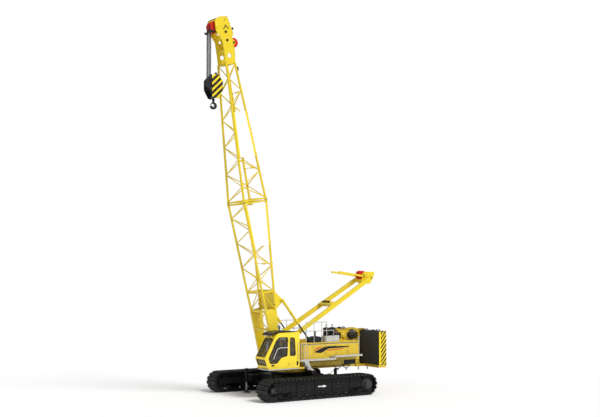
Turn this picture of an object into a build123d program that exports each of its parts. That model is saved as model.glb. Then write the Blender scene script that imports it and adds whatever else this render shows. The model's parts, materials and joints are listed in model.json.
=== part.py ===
from build123d import *
from math import cos, radians, sin
import os

# Crawler crane with a lattice boom, in working order. Millimetres.
# X runs forward, Y to the machine's left, Z up; the origin is on the slew axis at the ground.

# Tracks
track_length = 7650
track_height = 1210
track_span = 6670
shoe_width = 980
shoe_count = 62
lug_height = 45
shoe_plate = 45
rail_depth = 70
rail_y = 150
rail_width = 80
track_centre_y = (track_span - shoe_width) / 2
wrap_radius = track_height / 2
wrap_x = track_length / 2 - wrap_radius
axle_z = wrap_radius
plate_radius = wrap_radius - lug_height
rail_radius = plate_radius - shoe_plate - rail_depth
wheel_gap = 0.3

# Track frames and the wheels in them
seat = 0.3
frame_box_width = 530
frame_web = 40
frame_half_length = 2560
frame_box_bottom_z = 480
frame_box_top_z = 880
frame_web_bottom_z = 240
wheel_radius = rail_radius - wheel_gap
wheel_width = 420
wheel_web_recess = 130
final_drive_radius = 240
final_drive_length = 150
roller_radius = 150
roller_count = 9
roller_pitch = 540
top_roller_radius = 65
top_roller_spread = 1350
roller_axle_radius = 35

# Carbody and the slew ring
carbody_half_length = 1450
carbody_half_width = 1250
carbody_bottom_z = 500
carbody_top_z = 1150
cross_beam_x = 1120
cross_beam_width = 640
cross_beam_bottom_z = 540
cross_beam_top_z = 960
ring_radius = 1050
ring_top_z = 1300
slew_gap = 0.3
turntable_bottom_z = ring_top_z + slew_gap

# Jacks at the carbody's corners
jack_x = 2170
jack_y = 1440
jack_radius = 95
jack_bore_gap = 1
jack_rod_radius = 60
jack_rod_length = 900
jack_bottom_z = 620
jack_top_z = 1400
jack_pad_radius = 210
jack_pad_height = 45
jack_pad_bottom_z = 25
jack_tube_cap = 50
jack_arm_width = 170
jack_arm_bottom_z = 760
jack_arm_top_z = 1080

# Turntable frame
frame_plate_y = 655
frame_plate = 60
cheek_y = 905
cheek_plate = 60
frame_front_x = 1750
frame_rear_x = -4000
frame_bottom_z = 1440
frame_floor_z = 1540
frame_rear_top_z = 2120

# Side hoods and the walkway
hood_inner_y = 1060
hood_outer_y = 1500
hood_front_x = 320
hood_rear_x = -3850
hood_bottom_z = 1960
hood_top_z = 2990
hood_wall = 40
walkway_outer_y = 2050
walkway_front_x = 700
walkway_step_x = -1800
walkway_z = 2060
walkway_depth = 60
walkway_rise = 130

# Cab
cab_rear_x = 780
cab_front_x = 2760
cab_nose_x = 3090
cab_nose_z = 2280
cab_brow_x = 2285
cab_outer_y = 2100
cab_inner_y = 1060
cab_bottom_z = 1690
cab_roof_z = 3690
cab_wall = 60
door_gap = 6
hinge_x = 1467
hinge_y = 2118
hinge_radius = 18
hinge_pin_radius = 10
hinge_half_height = 62
hinge_ear = 20
door_margin = 80
glass_thickness = 12
glass_inset = 18
pane_width = 860
windscreen_height = 1080
low_pane_height = 300

# Boom, given along its axis from the foot pin
boom_pin_x = 1400
boom_pin_z = 1950
boom_angle = 80
boom_pin_radius = 70
leg_end = 2950
box_end = 4050
section_end = 9300
head_start = 17280
foot_width = 1790
joint_width = 1906
head_width = 1046
leg_low = 1900
leg_depth = 740
box_depth = 900
joint_depth = 1590
head_depth = 690
leg_plate = 170
leg_eye_radius = 210
chord_radius = 62
lacing_radius = 30
foot_bays = 7
head_bays = 10
frame_bar_radius = 45
section_gap = 0.6

# Boom head
head_plate_y = 400
head_plate = 45
head_shaft_x = 5250
head_shaft_z = 20970
shaft_radius = 60
sheave_radius = 335
groove_radius = 285
sheave_width = 60
sheave_pitch = 66
sheave_split = 24
groove_width = 36
head_sheave_count = 8
guide_sheave_back = 1300
guide_sheave_drop = 730
guide_sheave_radius = 280
guide_bracket = 24
bore_gap = 1

# Winches: the main one low in the bay between the side plates, two raised ones in I-shaped end plates
main_winch_x = -900
main_winch_z = 1965
second_winch_x = -3450
luffing_winch_x = -4720
raised_winch_z = 3230
winch_flange = 40
winch_axle_radius = 70
winch_plate_y = 455
winch_plate = 30
winch_plate_top = 420

# Hoist rope falls and hook block
rope_radius = 16
block_shaft_z = 17750
cheek_half_width = 445
cheek_gap = 14
block_cheek = 30
block_top_z = 18240
block_bottom_z = 16880
hook_eye_z = 16490
hook_radius = 205
hook_throat_radius = 95
hook_thickness = 110

# Mast
mast_pin_x = 850
mast_pin_z = 3060
mast_head_x = -5420
mast_head_z = 6700
mast_foot_y = 800
mast_head_y = 600
mast_leg_width = 150
mast_leg_depth = 240
mast_pin_radius = 55
mast_sheave_radius = 260

# Backstops
stop_top_x = 1200
stop_top_z = 5440
stop_seat_x = -600
stop_seat_z = 3160
stop_y = 965
stop_tube_radius = 76
stop_rod_radius = 45
stop_rod_gap = 0.3
stop_tube_length = 1750
stop_rod_overlap = 900

# Counterweight
slab_front_x = -4640
slab_rear_x = -5190
slab_outer_y = 2420
slab_inner_y = 500
slab_bottom_z = 1560
slab_top_z = 3540
slab_count = 6
slab_groove = 12
tray_bottom_z = 1410
tray_neck_gap = 15
tray_leg_radius = 38
tray_leg_gap = 1
tray_leg_y = 930
tray_leg_front_x = -4220
tray_leg_rear_x = -4900
tray_leg_length = 850
tray_leg_clearance = 15
tray_leg_tube_radius = 62
tray_leg_tube_height = 240

os.makedirs("parts", exist_ok=True)


def bar(start, end, radius, sides=6):
    """A straight prism between two points, for lacing, rails and rope."""
    start = Vector(*start)
    run = Vector(*end) - start
    with BuildPart(mode=Mode.PRIVATE) as piece:
        with BuildSketch(Plane(origin=start, z_dir=run.normalized())):
            RegularPolygon(radius, sides)
        extrude(amount=run.length)
    return piece.part


def chord_bar(start, end, before, after):
    """An eight-sided boom chord with flats to its sides, run on a little past its two points."""
    way = (Vector(*end) - Vector(*start)).normalized()
    start = Vector(*start) - way * before
    run = Vector(*end) + way * after - start
    with BuildPart(mode=Mode.PRIVATE) as piece:
        with BuildSketch(Plane(origin=start, x_dir=(0, 1, 0), z_dir=run.normalized())):
            RegularPolygon(chord_radius, 8, major_radius=False, rotation=22.5)
        extrude(amount=run.length)
    return piece.part


def block(x_range, y_range, z_range):
    """A rectangular block between two corners."""
    with BuildPart(mode=Mode.PRIVATE) as piece:
        with Locations((sum(x_range) / 2, sum(y_range) / 2, sum(z_range) / 2)):
            Box(
                abs(x_range[1] - x_range[0]),
                abs(y_range[1] - y_range[0]),
                abs(z_range[1] - z_range[0]),
            )
    return piece.part


def outline_face(points, radii=None):
    """A flat face inside an outline of X and Z points, with a radius for each corner where given."""
    flat = [(x, -z) for x, z in points]
    with BuildSketch(mode=Mode.PRIVATE) as outline:
        with BuildLine():
            if radii:
                FilletPolyline(*flat, radius=radii, close=True)
            else:
                Polyline(flat, close=True)
        make_face()
    return outline.sketch


def slab_of(face, y_from, y_to):
    """A flat face given thickness between two values of Y."""
    low, high = sorted((y_from, y_to))
    with BuildPart(mode=Mode.PRIVATE) as piece:
        with BuildSketch(Plane(origin=(0, low, 0), x_dir=(1, 0, 0), z_dir=(0, 1, 0))):
            add(face)
        extrude(amount=high - low)
    return piece.part


def plate(points, y_from, y_to, radii=None):
    """A plate cut to an outline of X and Z points, between two values of Y."""
    return slab_of(outline_face(points, radii), y_from, y_to)


def round_y(x, z, y_from, y_to, radius):
    """A round piece lying along Y."""
    low, high = sorted((y_from, y_to))
    with BuildPart(mode=Mode.PRIVATE) as piece:
        with BuildSketch(Plane(origin=(x, low, z), z_dir=(0, 1, 0))):
            Circle(radius)
        extrude(amount=high - low)
    return piece.part


def beam(start, end, width, depth):
    """A rectangular beam between two points, its width across the machine."""
    start = Vector(*start)
    run = Vector(*end) - start
    with BuildPart(mode=Mode.PRIVATE) as piece:
        with BuildSketch(Plane(origin=start, x_dir=(0, 1, 0), z_dir=run.normalized())):
            Rectangle(width, depth)
        extrude(amount=run.length)
    return piece.part


def round_between(start, end, radius):
    """A round piece between two points."""
    start = Vector(*start)
    run = Vector(*end) - start
    with BuildPart(mode=Mode.PRIVATE) as piece:
        with BuildSketch(Plane(origin=start, z_dir=run.normalized())):
            Circle(radius)
        extrude(amount=run.length)
    return piece.part


def sheave(x, y, z, radius, groove, bore):
    """A grooved rope sheave turning about Y."""
    with BuildPart(mode=Mode.PRIVATE) as piece:
        with BuildSketch(Plane(origin=(x, y - sheave_width / 2, z), z_dir=(0, 1, 0))):
            Circle(radius)
            Circle(bore, mode=Mode.SUBTRACT)
        extrude(amount=sheave_width)
        with BuildSketch(Plane(origin=(x, y - groove_width / 2, z), z_dir=(0, 1, 0))):
            Circle(radius + 10)
            Circle(groove, mode=Mode.SUBTRACT)
        extrude(amount=groove_width, mode=Mode.SUBTRACT)
    return piece.part


boom_slope = radians(boom_angle)
boom_plane = Plane(
    origin=(boom_pin_x, 0, boom_pin_z),
    x_dir=(sin(boom_slope), 0, -cos(boom_slope)),
    z_dir=(cos(boom_slope), 0, sin(boom_slope)),
)


def on_boom(along, across, ahead):
    """A point given along the boom from its foot pin, across to the left and ahead of its centre line."""
    point = boom_plane.from_local_coords((ahead, across, along))
    return (point.X, point.Y, point.Z)


def boom_xz(along, ahead):
    """X and Z of a point on the boom's middle plane."""
    x, y, z = on_boom(along, 0, ahead)
    return (x, z)


# Track loops: shoes with a bar and two link rails, closed round both ends
straight = 2 * wrap_x
half_turn = 3.14159265 * plate_radius
loop_length = 2 * straight + 2 * half_turn
shoe_pitch = loop_length / shoe_count


def on_loop(travel, radius):
    """X and Z on the loop at a radius from its axles, for a distance travelled along the shoe plates."""
    travel = travel % loop_length
    if travel < straight:
        return (wrap_x - travel, axle_z + radius)
    travel -= straight
    if travel < half_turn:
        turn = travel / plate_radius
        return (-wrap_x - radius * sin(turn), axle_z + radius * cos(turn))
    travel -= half_turn
    if travel < straight:
        return (-wrap_x + travel, axle_z - radius)
    turn = (travel - straight) / plate_radius
    return (wrap_x + radius * sin(turn), axle_z - radius * cos(turn))


# share of a shoe's pitch, height above its plate
shoe_profile = [
    (0.03, -25),
    (0.07, 0),
    (0.14, lug_height),
    (0.30, lug_height),
    (0.36, 12),
    (0.64, 12),
    (0.70, lug_height),
    (0.86, lug_height),
    (0.93, 0),
    (0.97, -25),
]
loop_outline = []
for shoe in range(shoe_count):
    for share, height in shoe_profile:
        loop_outline.append(on_loop((shoe + share) * shoe_pitch, plate_radius + height))
loop_inside = [on_loop((shoe + 0.5) * shoe_pitch, plate_radius - shoe_plate) for shoe in range(shoe_count)]

for side_name, side in (("left", 1), ("right", -1)):
    loop_y = side * track_centre_y - shoe_width / 2
    loop_plane = Plane(origin=(0, loop_y, 0), x_dir=(1, 0, 0), z_dir=(0, 1, 0))
    with BuildPart() as track:
        with BuildSketch(loop_plane):
            with BuildLine():
                Polyline([(x, -z) for x, z in loop_outline], close=True)
            make_face()
            with BuildLine():
                Polyline([(x, -z) for x, z in loop_inside], close=True)
            make_face(mode=Mode.SUBTRACT)
        extrude(amount=shoe_width)
        for rail_side in (-rail_y, rail_y):
            with BuildSketch(loop_plane.offset(shoe_width / 2 + rail_side - rail_width / 2)):
                with Locations((0, -axle_z)):
                    SlotCenterToCenter(straight, 2 * (plate_radius - shoe_plate + 14))
                    SlotCenterToCenter(straight, 2 * rail_radius, mode=Mode.SUBTRACT)
            extrude(amount=rail_width)
    track.part.label = f"track_shoes_{side_name}"
    export_step(track.part, f"parts/track_shoes_{side_name}.step")

# Track frames: a box beam, webs that hold the rollers, and forks for the end wheels
fork_outline = [
    (frame_half_length - 300, 860),
    (frame_half_length - 100, 900),
    (wrap_x - 380, 900),
    (wrap_x - 60, 800),
    (wrap_x + 160, 690),
    (wrap_x + 160, 520),
    (wrap_x - 60, 440),
    (frame_half_length - 100, 340),
    (frame_half_length - 300, 340),
]
top_roller_z = axle_z + rail_radius - wheel_gap - top_roller_radius
low_roller_z = axle_z - rail_radius + wheel_gap + roller_radius
web_reach = frame_box_width / 2 - frame_web
for side_name, side in (("left", 1), ("right", -1)):
    centre = side * track_centre_y
    half = frame_box_width / 2
    frame_pieces = [
        block(
            (-frame_half_length, frame_half_length),
            (centre - half, centre + half),
            (frame_box_bottom_z, frame_box_top_z),
        ),
        block(
            (550, 1150),
            (centre + side * 60, centre + side * 200),
            (frame_box_top_z, frame_box_top_z + 90),
        ),
    ]
    for web in (-1, 1):
        web_outer = centre + web * half
        web_inner = centre + web * web_reach
        frame_pieces += [
            block(
                (-frame_half_length, frame_half_length),
                (web_inner, web_outer),
                (frame_web_bottom_z, frame_box_bottom_z),
            ),
            plate(fork_outline, web_inner, web_outer),
            plate([(-x, z) for x, z in fork_outline], web_inner, web_outer),
        ]
        for place in (-top_roller_spread, 0, top_roller_spread):
            frame_pieces.append(block(
                (place - 70, place + 70),
                (centre + web * 215, centre + web * 240),
                (frame_box_top_z, top_roller_z + 40),
            ))
    drive_outer = centre + side * (half + final_drive_length)
    final_drive = round_y(-wrap_x, axle_z, centre + side * half, drive_outer, final_drive_radius)
    with BuildPart() as track_frame:
        add(frame_pieces)
        add(final_drive)
    track_frame.part.label = f"track_frame_{side_name}"
    export_step(track_frame.part, f"parts/track_frame_{side_name}.step")

# End wheels and rollers, both sides in one piece each
for wheel_name, wheel_x in (("front_idlers", wrap_x), ("drive_sprockets", -wrap_x)):
    with BuildPart() as wheels:
        for side in (-1, 1):
            wheel_y = side * track_centre_y - wheel_width / 2
            wheel_plane = Plane(origin=(wheel_x, wheel_y, axle_z), z_dir=(0, 1, 0))
            with BuildSketch(wheel_plane):
                Circle(wheel_radius)
            extrude(amount=wheel_width)
            for recess in (0, wheel_width - wheel_web_recess):
                with BuildSketch(wheel_plane.offset(recess)):
                    Circle(wheel_radius - 70)
                    Circle(150, mode=Mode.SUBTRACT)
                extrude(amount=wheel_web_recess, mode=Mode.SUBTRACT)
            with BuildSketch(wheel_plane.offset(wheel_width / 2 - web_reach + seat)):
                Circle(90)
            extrude(amount=2 * (web_reach - seat))
    wheels.part.label = wheel_name
    export_step(wheels.part, f"parts/{wheel_name}.step")

roller_pieces = []
for side in (-1, 1):
    centre = side * track_centre_y
    for index in range(roller_count):
        place = (index - (roller_count - 1) / 2) * roller_pitch
        roller_pieces.append(round_y(place, low_roller_z, centre - 205, centre + 205, roller_radius))
        axle_reach = web_reach - seat
        roller_pieces.append(
            round_y(place, low_roller_z, centre - axle_reach, centre + axle_reach, roller_axle_radius)
        )
    for place in (-top_roller_spread, 0, top_roller_spread):
        roller_pieces.append(
            round_y(place, top_roller_z, centre - 215 + seat, centre + 215 - seat, top_roller_radius)
        )
with BuildPart() as rollers:
    add(roller_pieces)
rollers.part.label = "track_rollers"
export_step(rollers.part, "parts/track_rollers.step")

# Carbody: centre box, cross beams into the track frames, valve box, slew ring
beam_reach = track_centre_y - frame_box_width / 2 - seat
carbody_pieces = [
    block(
        (-carbody_half_length, carbody_half_length),
        (-carbody_half_width, carbody_half_width),
        (carbody_bottom_z, carbody_top_z),
    ),
    block((-520, -190), (1500, 1900), (1020, 1400)),
    block((-470, -240), (1200, 1520), (900, 1140)),
]
for end in (-1, 1):
    carbody_pieces.append(block(
        (end * cross_beam_x - cross_beam_width / 2, end * cross_beam_x + cross_beam_width / 2),
        (-beam_reach, beam_reach),
        (cross_beam_bottom_z, cross_beam_top_z),
    ))
with BuildPart() as carbody:
    add(carbody_pieces)
    with BuildSketch(Plane.XY.offset(carbody_top_z)):
        Circle(ring_radius + 70)
    extrude(amount=80)
    with BuildSketch(Plane.XY.offset(carbody_top_z)):
        Circle(ring_radius)
    extrude(amount=ring_top_z - carbody_top_z)
carbody.part.label = "carbody"
export_step(carbody.part, "parts/carbody.step")

# Jack arms with the jacks' outer tubes, and the rods that slide in them
jack_places = [
    ("front_left", 1, 1),
    ("front_right", 1, -1),
    ("rear_left", -1, 1),
    ("rear_right", -1, -1),
]
arm_pieces = []
for place, along, across in jack_places:
    arm_pieces.append(block(
        (along * (carbody_half_length + seat), along * (jack_x - 60)),
        (across * (jack_y - 420), across * (jack_y - 420 + jack_arm_width)),
        (jack_arm_bottom_z, jack_arm_top_z),
    ))
    arm_pieces.append(block(
        (along * (jack_x - 230), along * (jack_x - 60)),
        (across * (jack_y - 420), across * (jack_y + 60)),
        (jack_arm_bottom_z, jack_arm_top_z),
    ))
with BuildPart() as jack_arms:
    add(arm_pieces)
    for place, along, across in jack_places:
        with Locations((along * jack_x, across * jack_y, jack_bottom_z)):
            Cylinder(jack_radius, jack_top_z - jack_bottom_z, align=(Align.CENTER, Align.CENTER, Align.MIN))
            Cylinder(
                jack_rod_radius + jack_bore_gap,
                jack_top_z - jack_bottom_z - jack_tube_cap,
                align=(Align.CENTER, Align.CENTER, Align.MIN),
                mode=Mode.SUBTRACT,
            )
jack_arms.part.label = "jack_arms"
export_step(jack_arms.part, "parts/jack_arms.step")

for place, along, across in jack_places:
    with BuildPart() as jack_rod:
        with Locations((along * jack_x, across * jack_y, jack_pad_bottom_z)):
            Cylinder(jack_pad_radius, jack_pad_height, align=(Align.CENTER, Align.CENTER, Align.MIN))
            Cylinder(jack_rod_radius, jack_rod_length, align=(Align.CENTER, Align.CENTER, Align.MIN))
    jack_rod.part.label = f"jack_rod_{place}"
    export_step(jack_rod.part, f"parts/jack_rod_{place}.step")



def winch_end_plate(x, foot_z):
    """Outline of a raised winch's end plate: wide foot, narrow waist at the axle, curved cap."""
    half = [
        (400, foot_z),
        (400, raised_winch_z - 330),
        (210, raised_winch_z - 130),
        (210, raised_winch_z + 200),
        (400, raised_winch_z + 240),
        (350, raised_winch_z + winch_plate_top - 40),
        (170, raised_winch_z + winch_plate_top),
    ]
    return [(x + across, z) for across, z in half] + [(x - across, z) for across, z in reversed(half)]


# radius of the corners of half an end plate, from its foot up
end_plate_corners = [8, 40, 60, 50, 20, 90, 200]
end_plate_radii = end_plate_corners + end_plate_corners[::-1]

# Turntable frame: floor, two long side plates, cheeks for the boom and mast pins, side decks, cab platform
side_outline = [
    (frame_front_x, frame_bottom_z),
    (frame_front_x, 1850),
    (boom_pin_x + 190, 2160),
    (boom_pin_x - 150, 2200),
    (mast_pin_x + 150, mast_pin_z + 60),
    (mast_pin_x + 60, mast_pin_z + 130),
    (mast_pin_x - 60, mast_pin_z + 130),
    (mast_pin_x - 150, mast_pin_z + 60),
    (250, 2500),
    (-400, 2250),
    (frame_rear_x, frame_rear_top_z),
    (frame_rear_x, frame_bottom_z),
]
boom_cheek = [
    (boom_pin_x - 330, frame_bottom_z),
    (boom_pin_x + 330, frame_bottom_z),
    (boom_pin_x + 200, 2140),
    (boom_pin_x - 200, 2140),
]
mast_cheek = [
    (mast_pin_x - 560, 2300),
    (mast_pin_x + 120, 2300),
    (mast_pin_x + 130, mast_pin_z + 60),
    (mast_pin_x + 60, mast_pin_z + 130),
    (mast_pin_x - 60, mast_pin_z + 130),
    (mast_pin_x - 150, mast_pin_z + 60),
]
turntable_pieces = [
    block((frame_rear_x, frame_front_x), (-cheek_y - 10, cheek_y + 10), (frame_bottom_z, frame_floor_z)),
    block((cab_rear_x - 350, cab_front_x), (cheek_y, cab_outer_y), (cab_bottom_z - 90, cab_bottom_z - seat)),
]
for cross_x in (boom_pin_x + 250, -1425, -2650):
    turntable_pieces.append(block(
        (cross_x - 40, cross_x + 40),
        (-frame_plate_y - 10, frame_plate_y + 10),
        (frame_floor_z - 10, 1900),
    ))
turntable_pieces.append(block(
    (second_winch_x - 480, second_winch_x + 480),
    (-frame_plate_y - 10, frame_plate_y + 10),
    (frame_rear_top_z - 60, frame_rear_top_z),
))
for side in (-1, 1):
    turntable_pieces.append(plate(
        winch_end_plate(second_winch_x, frame_rear_top_z - 20),
        side * winch_plate_y,
        side * (winch_plate_y + winch_plate),
        end_plate_radii,
    ))
    pin_end = side * (cheek_y + cheek_plate)
    turntable_pieces += [
        plate(side_outline, side * frame_plate_y, side * (frame_plate_y + frame_plate)),
        plate(boom_cheek, side * cheek_y, pin_end),
        plate(mast_cheek, side * (cheek_y - 20), side * (cheek_y + cheek_plate - 20)),
        block(
            (mast_pin_x - 560, mast_pin_x - 260),
            (side * frame_plate_y, side * (cheek_y + 30)),
            (2300, 2360),
        ),
        round_y(boom_pin_x, boom_pin_z, side * frame_plate_y, pin_end + side * 20, boom_pin_radius),
        round_y(mast_pin_x, mast_pin_z, side * frame_plate_y, pin_end, mast_pin_radius),
        block(
            (stop_seat_x - 140, stop_seat_x + 140),
            (side * frame_plate_y, side * (stop_y + 90)),
            (2180, 2240),
        ),
        block(
            (stop_seat_x - 90, stop_seat_x + 90),
            (side * (stop_y - 80), side * (stop_y + 80)),
            (2240, stop_seat_z - 90),
        ),
        block(
            (hood_rear_x, hood_front_x),
            (side * (hood_inner_y - 60), side * hood_outer_y),
            (hood_bottom_z - 60, hood_bottom_z - seat),
        ),
    ]
    for outrigger_x in (100, -1300, -2700, -3700):
        turntable_pieces.append(block(
            (outrigger_x - 60, outrigger_x + 60),
            (side * frame_plate_y, side * (hood_outer_y - 40)),
            (1660, hood_bottom_z - 50),
        ))
with BuildPart() as turntable:
    with BuildSketch(Plane.XY.offset(turntable_bottom_z)):
        Circle(ring_radius)
    extrude(amount=frame_bottom_z - turntable_bottom_z)
    add(turntable_pieces)
turntable.part.label = "turntable_frame"
export_step(turntable.part, "parts/turntable_frame.step")

# Side hoods: sheet boxes open below, with the walkways and, on the left one, the steps up to them
step_treads = [(240, 1800), (40, 1640), (-160, 1480)]
step_pieces = []
for cheek_y in (1700, 2030):
    step_pieces.append(plate(
        [
            (360, 1900),
            (460, walkway_z - 40),
            (140, walkway_z - 40),
            (-60, 1640),
            (-260, 1470),
            (-100, 1450),
            (110, 1600),
        ],
        cheek_y,
        cheek_y + 20,
    ))
for tread_x, tread_z in step_treads:
    step_pieces.append(block((tread_x - 110, tread_x + 110), (1705, 2045), (tread_z - 12, tread_z + 12)))
for side_name, side in (("left", 1), ("right", -1)):
    hood_pieces = [
        block(
            (hood_rear_x, hood_front_x),
            (side * hood_inner_y, side * hood_outer_y),
            (hood_bottom_z, hood_top_z),
        ),
    ]
    hollow = block(
        (hood_rear_x + hood_wall, hood_front_x - hood_wall),
        (side * (hood_inner_y + hood_wall), side * (hood_outer_y - hood_wall)),
        (hood_bottom_z - 10, hood_top_z - hood_wall),
    )
    walkways = [
        block(
            (walkway_step_x, walkway_front_x if side > 0 else hood_front_x),
            (side * hood_outer_y, side * walkway_outer_y),
            (walkway_z - walkway_depth, walkway_z),
        ),
        block(
            (hood_rear_x + 150, walkway_step_x + 60),
            (side * hood_outer_y, side * walkway_outer_y),
            (walkway_z - walkway_depth + walkway_rise, walkway_z + walkway_rise),
        ),
        block(
            (walkway_step_x, walkway_step_x + 60),
            (side * hood_outer_y, side * walkway_outer_y),
            (walkway_z - walkway_depth, walkway_z + walkway_rise),
        ),
    ]
    with BuildPart() as hood:
        add(hood_pieces)
        add(hollow, mode=Mode.SUBTRACT)
        add(walkways)
        if side > 0:
            add(step_pieces)
    hood.part.label = f"side_hood_{side_name}"
    export_step(hood.part, f"parts/side_hood_{side_name}.step")

# Engine inside the left hood, silencer with its stack and air cleaners on it
with BuildPart() as engine:
    add(block((-2300, -700), (hood_inner_y + 70, hood_outer_y - 70), (hood_bottom_z, 2780)))
engine.part.label = "engine"
export_step(engine.part, "parts/engine.step")

silencer_pieces = [
    round_between((-370, 1240, 3190), (-1190, 1240, 3190), 120),
    round_between((-860, 1240, 3190), (-860, 1240, 3620), 45),
    block((-560, -500), (1160, 1320), (hood_top_z + seat, 3120)),
    block((-1060, -1000), (1160, 1320), (hood_top_z + seat, 3120)),
]
with BuildPart() as silencer:
    add(silencer_pieces)
silencer.part.label = "silencer"
export_step(silencer.part, "parts/silencer.step")

cleaner_pieces = [
    block((-2430, -1510), (1100, 1440), (hood_top_z + seat, 3340)),
    round_between((-1640, 1270, 3340), (-1640, 1270, 3760), 180),
    round_between((-2060, 1270, 3340), (-2060, 1270, 3760), 180),
]
with BuildPart() as cleaners:
    add(cleaner_pieces)
cleaners.part.label = "air_cleaners"
export_step(cleaners.part, "parts/air_cleaners.step")

# Winch drums
# name, axle X and Z, radius of the drum and of its flanges, half its width, reach of its axle
winches = [
    ("main", main_winch_x, main_winch_z, 230, 370, 540, frame_plate_y),
    ("second", second_winch_x, raised_winch_z, 205, 320, 400, winch_plate_y),
    ("luffing", luffing_winch_x, raised_winch_z, 205, 320, 400, winch_plate_y),
]
for winch_name, winch_x, winch_z, drum_radius, flange_radius, half_drum, reach in winches:
    drum_pieces = [
        round_y(winch_x, winch_z, -half_drum, half_drum, drum_radius),
        round_y(winch_x, winch_z, seat - reach, reach - seat, winch_axle_radius),
        round_y(winch_x, winch_z, -half_drum - winch_flange, -half_drum, flange_radius),
        round_y(winch_x, winch_z, half_drum, half_drum + winch_flange, flange_radius),
    ]
    with BuildPart() as drum:
        add(drum_pieces)
    drum.part.label = f"{winch_name}_winch_drum"
    export_step(drum.part, f"parts/{winch_name}_winch_drum.step")

# Handrails on the hoods
rail_pieces = []
rail_posts = [(-100, 4170), (-640, 4170), (-1180, 4170), (-1530, 4170), (-2030, 3680)]
for side in (-1, 1):
    rail_line = side * (hood_outer_y - 30)
    for post_x, post_top in rail_posts:
        rail_pieces.append(bar((post_x, rail_line, hood_top_z + seat), (post_x, rail_line, post_top), 20))
    rail_pieces.append(bar((-80, rail_line, 4160), (-1550, rail_line, 4160), 20))
    rail_pieces.append(bar((-80, rail_line, 3660), (-2050, rail_line, 3660), 20))
with BuildPart() as handrails:
    add(rail_pieces)
handrails.part.label = "handrails"
export_step(handrails.part, "parts/handrails.step")

# Cab: a hollow shell with window openings, a door in its left wall, panes and a seat
cab_outline = [
    (cab_rear_x, cab_bottom_z),
    (cab_front_x + 90, cab_bottom_z),
    (cab_nose_x, cab_nose_z),
    (cab_brow_x, cab_roof_z - 20),
    (cab_rear_x, cab_roof_z),
]
cab_face = outline_face(cab_outline, [30, 150, 110, 430, 60])
with BuildSketch() as cab_hollow:
    add(cab_face)
    offset(amount=-cab_wall)
door_low_z = cab_bottom_z + door_margin
with BuildSketch() as door_face:
    add(cab_face)
    offset(amount=-door_margin)
    with Locations((hinge_x + 3, -door_low_z)):
        Rectangle(3000, 3000, align=(Align.MIN, Align.MAX), mode=Mode.INTERSECT)
with BuildSketch() as door_opening:
    add(cab_face)
    offset(amount=door_gap - door_margin)
    with Locations((hinge_x + 3 - door_gap, door_gap - door_low_z)):
        Rectangle(3000, 3000, align=(Align.MIN, Align.MAX), mode=Mode.INTERSECT)
door_window = [
    (1620, 2390),
    (1990, 2330),
    (2310, 2010),
    (2720, 2010),
    (2810, 2290),
    (2330, 3230),
    (2150, 3400),
    (1590, 3400),
]
door_window_radii = [60, 120, 120, 90, 70, 150, 150, 60]
side_window = [(1060, 2390), (1400, 2390), (1400, 3370), (1130, 3370)]
side_window_radii = [90, 40, 40, 130]
inner_window = [(1000, 2300), (2700, 2300), (2330, 3200), (1000, 3350)]
hinge_levels = [1960, 3240]
hinge_ears = []
hinge_barrels = []
for level in hinge_levels:
    ear_top = level + hinge_half_height + hinge_ear
    for low, high in ((2 * level - ear_top, level - hinge_half_height), (level + hinge_half_height, ear_top)):
        hinge_ears.append(round_between((hinge_x, hinge_y, low), (hinge_x, hinge_y, high), hinge_radius))
        hinge_ears.append(block((1395, hinge_x), (cab_outer_y - 10, hinge_y + 10), (low, high)))
    hinge_ears.append(round_between(
        (hinge_x, hinge_y, 2 * level - ear_top),
        (hinge_x, hinge_y, ear_top),
        hinge_pin_radius,
    ))
    hinge_barrels.append(round_between(
        (hinge_x, hinge_y, level - hinge_half_height + seat),
        (hinge_x, hinge_y, level + hinge_half_height - seat),
        hinge_radius,
    ))
    hinge_barrels.append(block(
        (hinge_x, 1550),
        (cab_outer_y - 10, hinge_y + 6),
        (level - hinge_half_height + seat, level + hinge_half_height - seat),
    ))
cab_body = slab_of(cab_face, cab_inner_y, cab_outer_y)
cab_inside = slab_of(cab_hollow.sketch, cab_inner_y + cab_wall, cab_outer_y - cab_wall)
door_hole = slab_of(door_opening.sketch, cab_outer_y - cab_wall - 10, cab_outer_y + 10)
side_hole = plate(side_window, cab_outer_y - cab_wall - 10, cab_outer_y + 10, side_window_radii)
inner_hole = plate(inner_window, cab_inner_y - 10, cab_inner_y + cab_wall + 10)


def pane_plane(low, high, share):
    """A plane on the cab's front between two points of its outline, facing out."""
    run_x = high[0] - low[0]
    run_z = high[1] - low[1]
    origin = (low[0] + share * run_x, (cab_inner_y + cab_outer_y) / 2, low[1] + share * run_z)
    return Plane(origin=origin, x_dir=(0, 1, 0), z_dir=(run_z, 0, -run_x))


front_plane = pane_plane(cab_outline[2], cab_outline[3], 0.42)
lower_plane = pane_plane(cab_outline[1], cab_outline[2], 0.6)
with BuildPart() as cab:
    add(cab_body)
    add(cab_inside, mode=Mode.SUBTRACT)
    add([door_hole, side_hole, inner_hole], mode=Mode.SUBTRACT)
    with BuildSketch(front_plane.offset(20)):
        Rectangle(pane_width, windscreen_height)
    extrude(amount=-120, mode=Mode.SUBTRACT)
    with BuildSketch(lower_plane.offset(20)):
        Rectangle(pane_width, low_pane_height)
    extrude(amount=-120, mode=Mode.SUBTRACT)
    with Locations((cab_rear_x + 30, (cab_inner_y + cab_outer_y) / 2, 2900)):
        Box(100, 760, 860, mode=Mode.SUBTRACT)
    add(hinge_ears)
cab.part.label = "cab_shell"
export_step(cab.part, "parts/cab_shell.step")

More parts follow.
